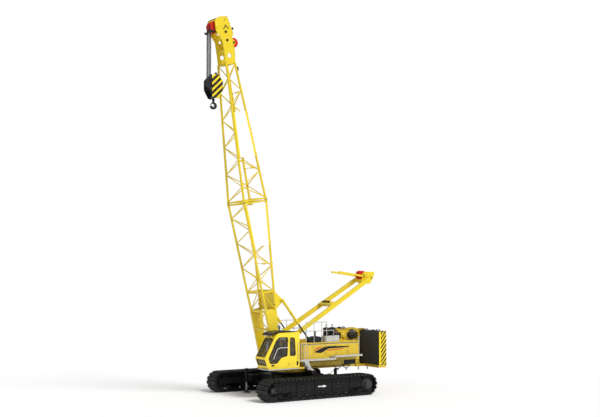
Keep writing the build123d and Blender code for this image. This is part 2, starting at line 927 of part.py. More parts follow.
door_panel = slab_of(door_face.sketch, cab_outer_y - cab_wall, cab_outer_y)
door_window_hole = plate(door_window, cab_outer_y - cab_wall - 10, cab_outer_y + 10, door_window_radii)
with BuildPart() as door:
    add(door_panel)
    add(door_window_hole, mode=Mode.SUBTRACT)
    with Locations((hinge_x - 3, cab_outer_y - 30, 2700)):
        Box(12, 80, 2000, mode=Mode.SUBTRACT)
    add(hinge_barrels)
    for level in hinge_levels:
        with Locations((hinge_x, hinge_y, level)):
            Cylinder(hinge_pin_radius + seat, 4 * hinge_half_height, mode=Mode.SUBTRACT)
door.part.label = "cab_door"
export_step(door.part, "parts/cab_door.step")


def pane_xz(points, radii, y_from):
    """A pane that fills an opening in a side wall, with a seat of air round it."""
    with BuildSketch(mode=Mode.PRIVATE) as pane:
        add(outline_face(points, radii))
        offset(amount=-seat)
    return slab_of(pane.sketch, y_from, y_from + glass_thickness)


outer_pane_y = cab_outer_y - glass_inset - glass_thickness
door_pane = pane_xz(door_window, door_window_radii, outer_pane_y)
with BuildPart() as door_glass:
    add(door_pane)
door_glass.part.label = "door_glass"
export_step(door_glass.part, "parts/door_glass.step")

fixed_panes = [
    pane_xz(side_window, side_window_radii, outer_pane_y),
    pane_xz(inner_window, None, cab_inner_y + glass_inset),
]
with BuildPart() as cab_glass:
    add(fixed_panes)
    with BuildSketch(front_plane.offset(-glass_inset)):
        Rectangle(pane_width - 2 * seat, windscreen_height - 2 * seat)
    extrude(amount=-glass_thickness)
    with BuildSketch(lower_plane.offset(-glass_inset)):
        Rectangle(pane_width - 2 * seat, low_pane_height - 2 * seat)
    extrude(amount=-glass_thickness)
    with Locations((cab_rear_x + 24, (cab_inner_y + cab_outer_y) / 2, 2900)):
        Box(glass_thickness, 760 - 2 * seat, 860 - 2 * seat)
cab_glass.part.label = "cab_glass"
export_step(cab_glass.part, "parts/cab_glass.step")

seat_y = (cab_inner_y + cab_outer_y) / 2
seat_pieces = [
    block((1300, 1700), (seat_y - 200, seat_y + 200), (cab_bottom_z + cab_wall + seat, 2080)),
    block((1230, 1780), (seat_y - 250, seat_y + 250), (2080, 2210)),
    beam((1290, seat_y, 2180), (1130, seat_y, 2900), 480, 120),
    block((1350, 1950), (seat_y - 400, seat_y - 280), (2080, 2330)),
    block((1350, 1950), (seat_y + 280, seat_y + 400), (2080, 2330)),
    block((1400, 1500), (seat_y - 330, seat_y + 330), (2060, 2120)),
]
with BuildPart() as operator_seat:
    add(seat_pieces)
operator_seat.part.label = "operator_seat"
export_step(operator_seat.part, "parts/operator_seat.step")

# Counterweight: tray with its neck and the rear winch's end plates, two stacks of slabs, sliding legs
leg_places = [(tray_leg_front_x, 1), (tray_leg_front_x, -1), (tray_leg_rear_x, 1), (tray_leg_rear_x, -1)]
leg_bottom_z = track_height + tray_leg_clearance
leg_top_z = leg_bottom_z + tray_leg_length
neck_half_y = slab_inner_y - tray_neck_gap
neck = (-neck_half_y, neck_half_y)
neck_top_z = raised_winch_z - 630
tray_floor = (tray_bottom_z, slab_bottom_z - seat)
tray_pieces = [
    block((slab_rear_x, slab_front_x + 40), (-slab_outer_y, slab_outer_y), tray_floor),
    block((slab_front_x, frame_rear_x - seat), (-1000, 1000), tray_floor),
    block((slab_front_x, frame_rear_x - seat), neck, (tray_bottom_z, frame_rear_top_z)),
    block((luffing_winch_x - 400, luffing_winch_x + 400), neck, (tray_bottom_z, neck_top_z)),
]
for side in (-1, 1):
    tray_pieces.append(plate(
        winch_end_plate(luffing_winch_x, neck_top_z - 20),
        side * winch_plate_y,
        side * (winch_plate_y + winch_plate),
        end_plate_radii,
    ))
    tray_pieces.append(round_between(
        (tray_leg_front_x, side * tray_leg_y, slab_bottom_z - 10),
        (tray_leg_front_x, side * tray_leg_y, slab_bottom_z + tray_leg_tube_height),
        tray_leg_tube_radius,
    ))
leg_bores = []
for leg_x, side in leg_places:
    leg_y = side * tray_leg_y
    leg_bores.append(
        round_between((leg_x, leg_y, 0), (leg_x, leg_y, leg_top_z + 10), tray_leg_radius + tray_leg_gap)
    )
with BuildPart() as tray:
    add(tray_pieces)
    add(leg_bores, mode=Mode.SUBTRACT)
tray.part.label = "counterweight_tray"
export_step(tray.part, "parts/counterweight_tray.step")

stack_pieces = []
groove_pieces = []
slab_height = (slab_top_z - slab_bottom_z) / slab_count
for side in (-1, 1):
    stack_pieces.append(block(
        (slab_rear_x, slab_front_x),
        (side * slab_inner_y, side * slab_outer_y),
        (slab_bottom_z, slab_top_z),
    ))
    for slab in range(1, slab_count):
        groove_z = slab_bottom_z + slab * slab_height
        groove_pieces.append(block(
            (slab_rear_x - 5, slab_rear_x + slab_groove),
            (side * slab_inner_y, side * slab_outer_y),
            (groove_z - slab_groove / 2, groove_z + slab_groove / 2),
        ))
with BuildPart() as slabs:
    add(stack_pieces)
    add(groove_pieces, mode=Mode.SUBTRACT)
    add(leg_bores, mode=Mode.SUBTRACT)
slabs.part.label = "counterweight_slabs"
export_step(slabs.part, "parts/counterweight_slabs.step")

for side_name, side in (("left", 1), ("right", -1)):
    leg_y = side * tray_leg_y
    leg_pieces = [
        round_between((leg_x, leg_y, leg_bottom_z), (leg_x, leg_y, leg_top_z), tray_leg_radius)
        for leg_x in (tray_leg_front_x, tray_leg_rear_x)
    ]
    with BuildPart() as tray_legs:
        add(leg_pieces)
    tray_legs.part.label = f"tray_legs_{side_name}"
    export_step(tray_legs.part, f"parts/tray_legs_{side_name}.step")

# Mast: two legs, a cross member, the head with its shaft and links
mast_run = (mast_head_x - mast_pin_x, mast_head_z - mast_pin_z)


def on_mast(share, across):
    """A point on a mast leg's centre line, a share of the way from the pin to the head."""
    y = mast_foot_y + share * (mast_head_y - mast_foot_y)
    return (mast_pin_x + share * mast_run[0], across * y, mast_pin_z + share * mast_run[1])


mast_head_outline = [
    (-4930, 6470),
    (-5030, 6990),
    (-5300, 7060),
    (-5880, 7060),
    (-5900, 6880),
    (-5600, 6330),
    (-5250, 6330),
]
member_outline = [
    on_mast(0.53, 1)[::2],
    (on_mast(0.53, 1)[0] + 90, on_mast(0.53, 1)[2] + 160),
    (on_mast(0.57, 1)[0] + 90, on_mast(0.57, 1)[2] + 160),
    on_mast(0.57, 1)[::2],
]
mast_pieces = [
    plate(member_outline, -670, 670),
    round_between((mast_head_x, -680, mast_head_z), (mast_head_x, 680, mast_head_z), 90),
    round_between((-5100, -330, 6860), (-5100, 330, 6860), 45),
]
for side in (-1, 1):
    mast_pieces += [
        beam(on_mast(0.0, side), on_mast(1.0, side), mast_leg_width, mast_leg_depth),
        round_y(mast_pin_x, mast_pin_z, side * (mast_foot_y - 75), side * (mast_foot_y + 75), 120),
        plate(mast_head_outline, side * 300, side * 330),
        beam((-5050, side * 370, 6800), (-3230, side * 370, 7050), 40, 110),
        round_y(-5050, 6800, side * 330, side * 390, 60),
    ]
with BuildPart() as mast:
    add(mast_pieces)
    for side in (-1, 1):
        with BuildSketch(Plane(origin=(mast_pin_x, side * mast_foot_y - 90, mast_pin_z), z_dir=(0, 1, 0))):
            Circle(mast_pin_radius + bore_gap)
        extrude(amount=180, mode=Mode.SUBTRACT)
mast.part.label = "mast"
export_step(mast.part, "parts/mast.step")

mast_groove_radius = mast_sheave_radius - 40
mast_sheave_pieces = [
    sheave(-5100, (index - 2.5) * sheave_pitch, 6860, mast_sheave_radius, mast_groove_radius, 45 + bore_gap)
    for index in range(6)
]
with BuildPart() as mast_sheaves:
    add(mast_sheave_pieces)
    with BuildSketch(Plane(origin=(-5100, -250, 6860), z_dir=(0, 1, 0))):
        Circle(90)
        Circle(45 + bore_gap, mode=Mode.SUBTRACT)
    extrude(amount=500)
mast_sheaves.part.label = "mast_sheaves"
export_step(mast_sheaves.part, "parts/mast_sheaves.step")


# Boom: each section is four chords with laced faces between two end frames
def half_size(along):
    """Half the width and half the depth of the chord lines at a distance along the boom."""
    stations = [
        (leg_end, foot_width, leg_depth),
        (box_end, foot_width + 20, box_depth),
        (section_end, joint_width, joint_depth),
        (head_start, head_width, head_depth),
    ]
    for (a, wide_a, deep_a), (b, wide_b, deep_b) in zip(stations, stations[1:]):
        if along <= b:
            share = (along - a) / (b - a)
            break
    wide = wide_a + share * (wide_b - wide_a)
    deep = deep_a + share * (deep_b - deep_a)
    return (wide / 2 - chord_radius, deep / 2 - chord_radius)


def chord(along, across, ahead):
    """A point on the chord line of a corner, given the signs of across and ahead."""
    wide, deep = half_size(along)
    return on_boom(along, across * wide, ahead * deep)


def ring(along, radius):
    """Four bars round the boom, from chord to chord."""
    corners = [(1, 1), (1, -1), (-1, -1), (-1, 1)]
    return [
        bar(chord(along, *corners[i]), chord(along, *corners[(i + 1) % 4]), radius)
        for i in range(4)
    ]


def laced(start, end, bays):
    """One zigzag on each face over a number of bays, opposite faces in opposite step."""
    pieces = []
    step = (end - start) / bays
    for bay in range(bays):
        low = start + bay * step
        high = low + step
        swing = 1 if bay % 2 else -1
        for face in (-1, 1):
            turn = swing * face
            pieces.append(bar(chord(low, face, turn), chord(high, face, -turn), lacing_radius))
            pieces.append(bar(chord(low, turn, face), chord(high, -turn, face), lacing_radius))
    return pieces


corners = [(1, 1), (1, -1), (-1, -1), (-1, 1)]
joint_plane = boom_plane.offset(section_end)
leg_outline = [
    boom_xz(-60, 200),
    boom_xz(60, 205),
    boom_xz(900, 260),
    boom_xz(leg_end, leg_depth / 2),
    boom_xz(leg_end + 70, leg_depth / 2),
    boom_xz(leg_end + 70, -leg_depth / 2),
    boom_xz(leg_end, -leg_depth / 2),
    boom_xz(900, -260),
    boom_xz(60, -205),
    boom_xz(-60, -200),
    boom_xz(-180, -110),
    boom_xz(-205, 0),
    boom_xz(-180, 110),
]
bracket_outline = [
    boom_xz(leg_end, -leg_depth / 2 + 60),
    boom_xz(box_end, -box_depth / 2 + 60),
    (stop_top_x + 20, stop_top_z + 110),
    (stop_top_x - 100, stop_top_z + 40),
    (stop_top_x - 100, stop_top_z - 50),
    (stop_top_x, stop_top_z - 110),
]
foot_pieces = []
for side in (-1, 1):
    outer = foot_width / 2
    foot_pieces += [
        plate(leg_outline, side * (outer - leg_plate), side * outer),
        plate(bracket_outline, side * (outer - 50), side * (outer - 10)),
        round_y(stop_top_x, stop_top_z, side * (outer - 50), side * (stop_y + 90), 40),
    ]
for a, b in corners:
    foot_pieces.append(chord_bar(chord(leg_end, a, b), chord(box_end, a, b), 100, 30))
    foot_pieces.append(chord_bar(chord(box_end, a, b), chord(section_end, a, b), 30, 40))
foot_pieces += laced(box_end, section_end - 130, foot_bays)
foot_pieces += laced(leg_end + 60, box_end, 1)
foot_pieces += ring(section_end - 70, frame_bar_radius)
foot_pieces += ring(box_end, frame_bar_radius + 10)
foot_pieces += ring(leg_end + 30, frame_bar_radius + 10)
for across in (-1, 1):
    foot_pieces.append(bar(
        on_boom(leg_low, across * (foot_width / 2 - leg_plate), leg_depth / 2 - 90),
        on_boom(leg_end, -across * (foot_width / 2 - leg_plate), leg_depth / 2 - 90),
        lacing_radius,
    ))
for along in (leg_end, leg_low):
    foot_pieces.append(bar(
        on_boom(along, -foot_width / 2 + 60, leg_depth / 2 - 90),
        on_boom(along, foot_width / 2 - 60, leg_depth / 2 - 90),
        75,
        8,
    ))
back_panel = [
    boom_xz(leg_end + 40, -leg_depth / 2 + 10),
    boom_xz(leg_end + 40, -leg_depth / 2 + 40),
    boom_xz(box_end - 40, -box_depth / 2 + 40),
    boom_xz(box_end - 40, -box_depth / 2 + 10),
]
foot_pieces.append(plate(back_panel, -foot_width / 2 + 60, foot_width / 2 - 60))
with BuildPart() as boom_foot:
    add(foot_pieces)
    with BuildSketch(Plane(origin=(boom_pin_x, -1000, boom_pin_z), z_dir=(0, 1, 0))):
        Circle(boom_pin_radius + bore_gap)
    extrude(amount=2000, mode=Mode.SUBTRACT)
    split(bisect_by=joint_plane.offset(-section_gap), keep=Keep.BOTTOM)
boom_foot.part.label = "boom_foot_section"
export_step(boom_foot.part, "parts/boom_foot_section.step")

def by_shaft(ahead, above):
    """X and Z of a point given from the head sheaves' shaft."""
    return (head_shaft_x + ahead, head_shaft_z + above)


guide_x, guide_z = by_shaft(-guide_sheave_back, -guide_sheave_drop)
# point of the head plates and its corner radius
head_corners = [
    (boom_xz(head_start - 40, head_depth / 2 - 30), 20),
    (by_shaft(-440, -1420), 600),
    (by_shaft(-330, -780), 300),
    (by_shaft(100, -250), 200),
    (by_shaft(170, 330), 40),
    (by_shaft(-100, 560), 300),
    (by_shaft(-620, 640), 40),
    (by_shaft(-1030, -300), 80),
    (by_shaft(-950, -550), 60),
    (by_shaft(-1150, -1340), 400),
    (boom_xz(head_start - 40, -head_depth / 2 + 30), 20),
]
head_outline = [point for point, radius in head_corners]
head_radii = [radius for point, radius in head_corners]
# centre and radius of the round openings in the head plates
head_openings = [
    (by_shaft(-540, -270), 85),
    (by_shaft(-640, -730), 85),
    (by_shaft(-790, -1600), 135),
]
guide_bracket_outline = [
    by_shaft(-1050, -1070),
    by_shaft(-1050, -370),
    (guide_x - 50, guide_z + 90),
    (guide_x - 100, guide_z),
    (guide_x - 50, guide_z - 90),
]
head_pieces = [chord_bar(chord(section_end, a, b), chord(head_start, a, b), 40, 0) for a, b in corners]
head_pieces += laced(section_end + 130, head_start - 60, head_bays)
head_pieces += ring(section_end + 70, frame_bar_radius)
head_pieces += ring(head_start - 40, frame_bar_radius + 10)
guide_cheek_y = sheave_width / 2 + 12
for side in (-1, 1):
    plate_inner = side * head_plate_y
    head_pieces.append(plate(head_outline, plate_inner, plate_inner + side * head_plate, head_radii))
    cheek_inner = side * guide_cheek_y
    head_pieces.append(plate(guide_bracket_outline, cheek_inner, cheek_inner + side * guide_bracket))
for ahead, above in ((-800, -1060), (-800, -440), (-760, 250), (-550, -1300)):
    bar_x, bar_z = by_shaft(ahead, above)
    head_pieces.append(bar((bar_x, -head_plate_y - 10, bar_z), (bar_x, head_plate_y + 10, bar_z), 60, 8))
head_pieces += [
    round_y(head_shaft_x, head_shaft_z, -head_plate_y - head_plate, head_plate_y + head_plate, shaft_radius),
    round_y(guide_x, guide_z, -guide_cheek_y - guide_bracket, guide_cheek_y + guide_bracket, 40),
    block(
        (head_shaft_x - 1090, head_shaft_x - 770),
        (-guide_cheek_y - guide_bracket, guide_cheek_y + guide_bracket),
        (head_shaft_z - 1070, head_shaft_z - 1020),
    ),
    block(
        (head_shaft_x - 1090, head_shaft_x - 770),
        (-guide_cheek_y - guide_bracket, guide_cheek_y + guide_bracket),
        (head_shaft_z - 470, head_shaft_z - 420),
    ),
]
with BuildPart() as boom_head:
    add(head_pieces)
    for (opening_x, opening_z), opening_radius in head_openings:
        with BuildSketch(Plane(origin=(opening_x, -head_plate_y - 100, opening_z), z_dir=(0, 1, 0))):
            Circle(opening_radius)
        extrude(amount=2 * head_plate_y + 200, mode=Mode.SUBTRACT)
    split(bisect_by=joint_plane, keep=Keep.TOP)
boom_head.part.label = "boom_head_section"
export_step(boom_head.part, "parts/boom_head_section.step")


def sheave_lane(index):
    """Y of a sheave in the two packs at the head or in the block, with the split between the packs."""
    place = (index - (head_sheave_count - 1) / 2) * sheave_pitch
    return place + (sheave_split / 2 if place > 0 else -sheave_split / 2)


pack_half = sheave_lane(head_sheave_count - 1) + sheave_width / 2
head_sheave_pieces = [
    sheave(
        head_shaft_x,
        sheave_lane(index),
        head_shaft_z,
        sheave_radius,
        groove_radius,
        shaft_radius + bore_gap,
    )
    for index in range(head_sheave_count)
]
with BuildPart() as head_sheaves:
    add(head_sheave_pieces)
    with BuildSketch(Plane(origin=(head_shaft_x, -pack_half - 20, head_shaft_z), z_dir=(0, 1, 0))):
        Circle(110)
        Circle(shaft_radius + bore_gap, mode=Mode.SUBTRACT)
    extrude(amount=2 * pack_half + 40)
head_sheaves.part.label = "boom_head_sheaves"
export_step(head_sheaves.part, "parts/boom_head_sheaves.step")

guide_piece = sheave(guide_x, 0, guide_z, guide_sheave_radius, guide_sheave_radius - 45, 40 + bore_gap)
with BuildPart() as guide_sheave:
    add(guide_piece)
guide_sheave.part.label = "guide_sheave"
export_step(guide_sheave.part, "parts/guide_sheave.step")


# Blank plates on the boom's left face
def side_sign(low, high, from_front, to_front):
    """A thin plate on the left chords, between two distances along the boom and two shares of its depth."""
    wide_low, deep_low = half_size(low)
    wide_high, deep_high = half_size(high)
    low_point = Vector(*on_boom(low, wide_low + chord_radius + seat, 0))
    high_point = Vector(*on_boom(high, wide_high + chord_radius + seat, 0))
    run = (high_point - low_point).normalized()
    outward = Vector(*boom_plane.x_dir).cross(run) * -1
    with BuildPart(mode=Mode.PRIVATE) as piece:
        with BuildSketch(Plane(origin=low_point, x_dir=run, z_dir=outward)):
            with BuildLine():
                Polyline(
                    [
                        (0, from_front * deep_low),
                        ((high_point - low_point).length, from_front * deep_high),
                        ((high_point - low_point).length, to_front * deep_high),
                        (0, to_front * deep_low),
                    ],
                    close=True,
                )
            make_face()
        extrude(amount=8)
    return piece.part


sign_pieces = [side_sign(11850, 14450, -1.0, 1.0), side_sign(6700, 9100, -1.0, 1.0)]
with BuildPart() as signs:
    add(sign_pieces)
signs.part.label = "boom_signs"
export_step(signs.part, "parts/boom_signs.step")

# Backstops: tubes hinged to the boom, rods that slide in them
stop_run = Vector(stop_seat_x - stop_top_x, 0, stop_seat_z - stop_top_z)
stop_length = stop_run.length
stop_way = stop_run.normalized()


def on_stop(distance, side):
    """A point on a backstop's axis at a distance down from its pin."""
    return (stop_top_x + distance * stop_way.X, side * stop_y, stop_top_z + distance * stop_way.Z)


tube_pieces = []
for side in (-1, 1):
    tube_pieces.append(round_between(on_stop(0, side), on_stop(stop_tube_length, side), stop_tube_radius))
    tube_pieces.append(round_y(stop_top_x, stop_top_z, side * (stop_y - 74), side * (stop_y + 74), 90))
with BuildPart() as stop_tubes:
    add(tube_pieces)
    for side in (-1, 1):
        with BuildSketch(Plane(origin=on_stop(stop_tube_length, side), z_dir=stop_way * -1)):
            Circle(stop_rod_radius + stop_rod_gap)
        extrude(amount=stop_tube_length - 200, mode=Mode.SUBTRACT)
        with BuildSketch(Plane(origin=(stop_top_x, side * stop_y - 90, stop_top_z), z_dir=(0, 1, 0))):
            Circle(40 + bore_gap)
        extrude(amount=180, mode=Mode.SUBTRACT)
stop_tubes.part.label = "backstop_tubes"
export_step(stop_tubes.part, "parts/backstop_tubes.step")

rod_pieces = []
for side in (-1, 1):
    rod_pieces.append(round_between(
        on_stop(stop_tube_length - stop_rod_overlap, side),
        on_stop(stop_length - 60, side),
        stop_rod_radius,
    ))
    rod_pieces.append(round_y(stop_seat_x, stop_seat_z, side * (stop_y - 60), side * (stop_y + 60), 80))
with BuildPart() as stop_rods:
    add(rod_pieces)
stop_rods.part.label = "backstop_rods"
export_step(stop_rods.part, "parts/backstop_rods.step")

# Hoist rope falls on the front of the sheaves, hook block and hook
fall_x = head_shaft_x + groove_radius + rope_radius + seat
fall_pieces = [
    bar((fall_x, sheave_lane(index), head_shaft_z), (fall_x, sheave_lane(index), block_shaft_z), rope_radius)
    for index in range(head_sheave_count)
]
with BuildPart() as falls:
    add(fall_pieces)
falls.part.label = "hoist_falls"
export_step(falls.part, "parts/hoist_falls.step")

cheek_y = pack_half + cheek_gap
cheek_reach = cheek_y + block_cheek
crosshead_z = block_bottom_z + 150
cheek_corners = [
    ((head_shaft_x - 130, block_top_z), 60),
    ((head_shaft_x + 130, block_top_z), 60),
    ((head_shaft_x + cheek_half_width, block_top_z - 330), 200),
    ((head_shaft_x + cheek_half_width, block_shaft_z - 380), 330),
    ((head_shaft_x + 170, block_bottom_z), 120),
    ((head_shaft_x - 170, block_bottom_z), 120),
    ((head_shaft_x - cheek_half_width, block_shaft_z - 380), 330),
    ((head_shaft_x - cheek_half_width, block_top_z - 330), 200),
]
cheek_outline = [point for point, radius in cheek_corners]
cheek_radii = [radius for point, radius in cheek_corners]
block_pieces = [
    round_y(head_shaft_x, block_shaft_z, -cheek_reach, cheek_reach, shaft_radius),
    round_y(head_shaft_x, crosshead_z, -cheek_reach, cheek_reach, 110),
    round_y(head_shaft_x, block_top_z - 70, -cheek_reach, cheek_reach, 30),
    round_y(head_shaft_x - 330, block_shaft_z - 340, -cheek_reach, cheek_reach, 30),
    round_y(head_shaft_x + 330, block_shaft_z - 340, -cheek_reach, cheek_reach, 30),
]
for side in (-1, 1):
    block_pieces.append(plate(cheek_outline, side * cheek_y, side * cheek_reach, cheek_radii))
with BuildPart() as hook_block:
    add(block_pieces)
    with BuildSketch(Plane(origin=(head_shaft_x, 0, block_bottom_z - 50))):
        Circle(55)
    extrude(amount=400, mode=Mode.SUBTRACT)
hook_block.part.label = "hook_block"
export_step(hook_block.part, "parts/hook_block.step")

block_sheave_pieces = [
    sheave(
        head_shaft_x,
        sheave_lane(index),
        block_shaft_z,
        sheave_radius,
        groove_radius,
        shaft_radius + bore_gap,
    )
    for index in range(head_sheave_count)
]
with BuildPart() as block_sheaves:
    add(block_sheave_pieces)
    with BuildSketch(Plane(origin=(head_shaft_x, seat - cheek_y, block_shaft_z), z_dir=(0, 1, 0))):
        Circle(110)
        Circle(shaft_radius + bore_gap, mode=Mode.SUBTRACT)
    extrude(amount=2 * (cheek_y - seat))
block_sheaves.part.label = "block_sheaves"
export_step(block_sheaves.part, "parts/block_sheaves.step")

# A single hook: thick under the throat, open to the front above its tip, on a shank with a nut
hook_plane = Plane(origin=(head_shaft_x, -hook_thickness / 2, hook_eye_z), x_dir=(1, 0, 0), z_dir=(0, 1, 0))
shank_low_z = hook_eye_z + hook_throat_radius + 30
nut_z = crosshead_z + 110 + seat
with BuildPart() as hook:
    with BuildSketch(hook_plane):
        with Locations((0, 15)):
            Circle(hook_radius)
        with Locations((15, -10)):
            Circle(hook_throat_radius, mode=Mode.SUBTRACT)
        with BuildLine():
            Polyline((40, 0), (330, 60), (330, -330), (70, -330), close=True)
        make_face(mode=Mode.SUBTRACT)
    extrude(amount=hook_thickness)
    with BuildSketch(Plane(origin=(head_shaft_x, 0, shank_low_z))):
        Circle(72)
    with BuildSketch(Plane(origin=(head_shaft_x, 0, shank_low_z + 170))):
        Circle(48)
    loft()
    with BuildSketch(Plane(origin=(head_shaft_x, 0, shank_low_z + 160))):
        Circle(48)
    extrude(amount=nut_z + 20 - shank_low_z - 160)
    with BuildSketch(Plane(origin=(head_shaft_x, 0, nut_z))):
        RegularPolygon(85, 8)
    extrude(amount=60)
hook.part.label = "hook"
export_step(hook.part, "parts/hook.step")
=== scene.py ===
import json
from math import cos, pi, radians, sin, tan

import bmesh
import bpy
from bpy.props import FloatProperty, FloatVectorProperty, IntProperty, PointerProperty
from mathutils import Matrix, Vector


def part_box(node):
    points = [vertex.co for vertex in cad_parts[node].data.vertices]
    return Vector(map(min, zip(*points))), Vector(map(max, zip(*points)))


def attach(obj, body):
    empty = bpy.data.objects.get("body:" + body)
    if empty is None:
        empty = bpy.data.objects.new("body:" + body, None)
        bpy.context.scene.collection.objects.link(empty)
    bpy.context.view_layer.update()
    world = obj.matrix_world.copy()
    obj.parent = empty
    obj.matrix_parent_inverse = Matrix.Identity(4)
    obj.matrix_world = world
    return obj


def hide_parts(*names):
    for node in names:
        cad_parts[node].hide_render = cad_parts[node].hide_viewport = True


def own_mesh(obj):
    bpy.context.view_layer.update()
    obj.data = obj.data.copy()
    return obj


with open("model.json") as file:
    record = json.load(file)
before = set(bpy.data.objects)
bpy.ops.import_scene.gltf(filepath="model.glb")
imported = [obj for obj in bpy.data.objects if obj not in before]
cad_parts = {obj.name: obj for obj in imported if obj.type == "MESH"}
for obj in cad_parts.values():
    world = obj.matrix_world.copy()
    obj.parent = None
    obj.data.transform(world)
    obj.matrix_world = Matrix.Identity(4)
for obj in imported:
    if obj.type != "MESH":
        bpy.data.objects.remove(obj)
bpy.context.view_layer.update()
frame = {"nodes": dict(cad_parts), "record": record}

bl_info = {
    "name": "Crawler crane looks",
    "version": (1, 0, 0),
    "blender": (4, 5, 0),
    "location": "3D View > Sidebar > Crane",
    "description": "Finishes and fittings for a lattice boom crawler crane, built round its fixed frame",
    "category": "Object",
}

SIDES = (("left", 1), ("right", -1))
LEFT = (0, 1, 0)
RIGHT = (0, -1, 0)
BACK = (-1, 0, 0)
UP = (0, 0, 1)
UPRIGHT = Matrix.Identity(4)
BOOM_PIN = (1.4, 0.0, 1.95)
BOOM_SLOPE = radians(80)
# distance along the boom, width and depth over its chords
BOOM_STATIONS = ((2.95, 1.79, 0.74), (4.05, 1.81, 0.90), (9.30, 1.906, 1.59), (17.28, 1.046, 0.69))
CHORD_RADIUS = 0.062


# Colours, sizes and view

class CranePaints(bpy.types.PropertyGroup):
    """Colours of the crane's finishes."""

    # darker and more orange than the cab's yellow: the same yellow paint with painted shade in it, for the
    # hoods, turntable and tray
    house_with_shade: FloatVectorProperty(
        name="House yellow", description="Hoods, turntable and tray", subtype="COLOR", size=3,
        min=0.0, max=1.0, default=(0.72, 0.50, 0.03),
    )
    cab: FloatVectorProperty(
        name="Cab yellow", description="Cab shell and door", subtype="COLOR", size=3,
        min=0.0, max=1.0, default=(0.95, 0.71, 0.025),
    )
    # darker than the cab's yellow: the same yellow paint with painted shade in it, for the boom, mast and
    # backstop tubes
    boom: FloatVectorProperty(
        name="Boom yellow", description="Boom, mast and backstop tubes", subtype="COLOR", size=3,
        min=0.0, max=1.0, default=(0.80, 0.605, 0.014),
    )
    chassis: FloatVectorProperty(
        name="Chassis black", description="Carbody, track frames and jacks", subtype="COLOR", size=3,
        min=0.0, max=1.0, default=(0.008, 0.008, 0.008),
    )
    slate: FloatVectorProperty(
        name="Slab slate", description="Counterweight slabs", subtype="COLOR", size=3,
        min=0.0, max=1.0, default=(0.036, 0.044, 0.055),
    )
    red: FloatVectorProperty(
        name="Sheave red", description="Boom head, guide and mast sheaves", subtype="COLOR", size=3,
        min=0.0, max=1.0, default=(0.62, 0.022, 0.012),
    )
    rail: FloatVectorProperty(
        name="Rail grey", description="Handrails, sills, steps and tray legs", subtype="COLOR", size=3,
        min=0.0, max=1.0, default=(0.52, 0.51, 0.47),
    )
    board: FloatVectorProperty(
        name="Board white", description="Blank boards on the boom", subtype="COLOR", size=3,
        min=0.0, max=1.0, default=(0.86, 0.86, 0.85),
    )


class CraneSizes(bpy.types.PropertyGroup):
    """Sizes of the parts that repeat."""

    shoes: IntProperty(name="Shoes", description="Shoes on each track", default=62, min=12)
    lug: FloatProperty(name="Grouser", description="Height of a shoe's ribs", unit="LENGTH", default=0.045)
    drum_turns: IntProperty(name="Drum turns", description="Turns of rope across a drum", default=26, min=1)
    rope_lay: FloatProperty(
        name="Rope lay", description="Length in which a strand goes once round", unit="LENGTH", default=0.22,
    )


class CraneView(bpy.types.PropertyGroup):
    """Where the camera stands and how the set is lit."""

    place: FloatVectorProperty(
        name="Camera place", description="Camera position", subtype="XYZ", unit="LENGTH", size=3,
        default=(34.144, 52.648, 7.517),
    )
    heading: FloatProperty(
        name="Heading", description="Direction of view about the vertical, from forward", subtype="ANGLE",
        default=radians(-123.45),
    )
    tilt: FloatProperty(
        name="Tilt", description="Upward tilt of the view", subtype="ANGLE", default=radians(3.003),
    )
    lens: FloatProperty(name="Lens", description="Focal length in millimetres", default=63.82, min=10.0)
    key: FloatProperty(name="Key light", description="Strength of the soft sun", default=2.5, min=0.0)
    fill: FloatProperty(
        name="Sky light", description="Strength of the white surroundings", default=0.52, min=0.0,
    )
    mirrored: FloatProperty(
        name="Mirrored sky", description="Strength of the surroundings in reflections", default=0.42, min=0.0,
    )


# Finishes

def shader(name):
    """A new material's tree, its surface shader and the place on the piece, as a socket.
    The frame's plain material of that name gives the name up."""
    plain = bpy.data.materials.get(name)
    if plain:
        plain.name = f"{name}_plain"
    made = bpy.data.materials.new(name)
    made.use_nodes = True
    tree = made.node_tree
    place = wired(tree, "ShaderNodeTexCoord").outputs["Object"]
    return tree, tree.nodes["Principled BSDF"], place


def feed(node, inputs):
    """Links an input to what is given for it, or sets it where that is a plain value."""
    for key, value in inputs.items():
        if isinstance(value, bpy.types.NodeSocket):
            node.id_data.links.new(value, node.inputs[key])
        else:
            node.inputs[key].default_value = value


def wired(tree, kind, inputs=None, **settings):
    """Adds a node with its settings and feeds its inputs."""
    node = tree.nodes.new(kind)
    for key, value in settings.items():
        setattr(node, key, value)
    feed(node, inputs or {})
    return node


def solid(colour):
    return (*colour, 1.0) if isinstance(colour, tuple) else colour


def darker(colour, share):
    return tuple(part * share for part in colour)


def ramp(tree, source, stops):
    """Greys along a source value, through stops of place and grey."""
    node = wired(tree, "ShaderNodeValToRGB", {"Fac": source})
    for element, (place, grey) in zip(node.color_ramp.elements, stops):
        element.position = place
        element.color = (grey, grey, grey, 1.0)
    return node.outputs["Color"]


def mixed(tree, share, first, second):
    """Two colours mixed by a share."""
    sockets = {0: share, 6: solid(first), 7: solid(second)}
    return wired(tree, "ShaderNodeMix", sockets, data_type="RGBA").outputs[2]


def calc(tree, operation, *values):
    """One arithmetic step on sockets or numbers."""
    return wired(tree, "ShaderNodeMath", dict(enumerate(values)), operation=operation).outputs[0]


def times(tree, *values):
    """The product of sockets or numbers."""
    product = values[0]
    for value in values[1:]:
        product = calc(tree, "MULTIPLY", product, value)
    return product


def axes_of(tree, vector):
    """The X, Y and Z of a vector, in one call."""
    split = wired(tree, "ShaderNodeSeparateXYZ", {0: vector}).outputs
    return split["X"], split["Y"], split["Z"]


def noise(tree, place, scale, detail, roughness=0.5):
    """Cloudy noise with so many specks to the metre."""
    inputs = {"Vector": place, "Scale": scale, "Detail": detail, "Roughness": roughness}
    return wired(tree, "ShaderNodeTexNoise", inputs).outputs["Fac"]


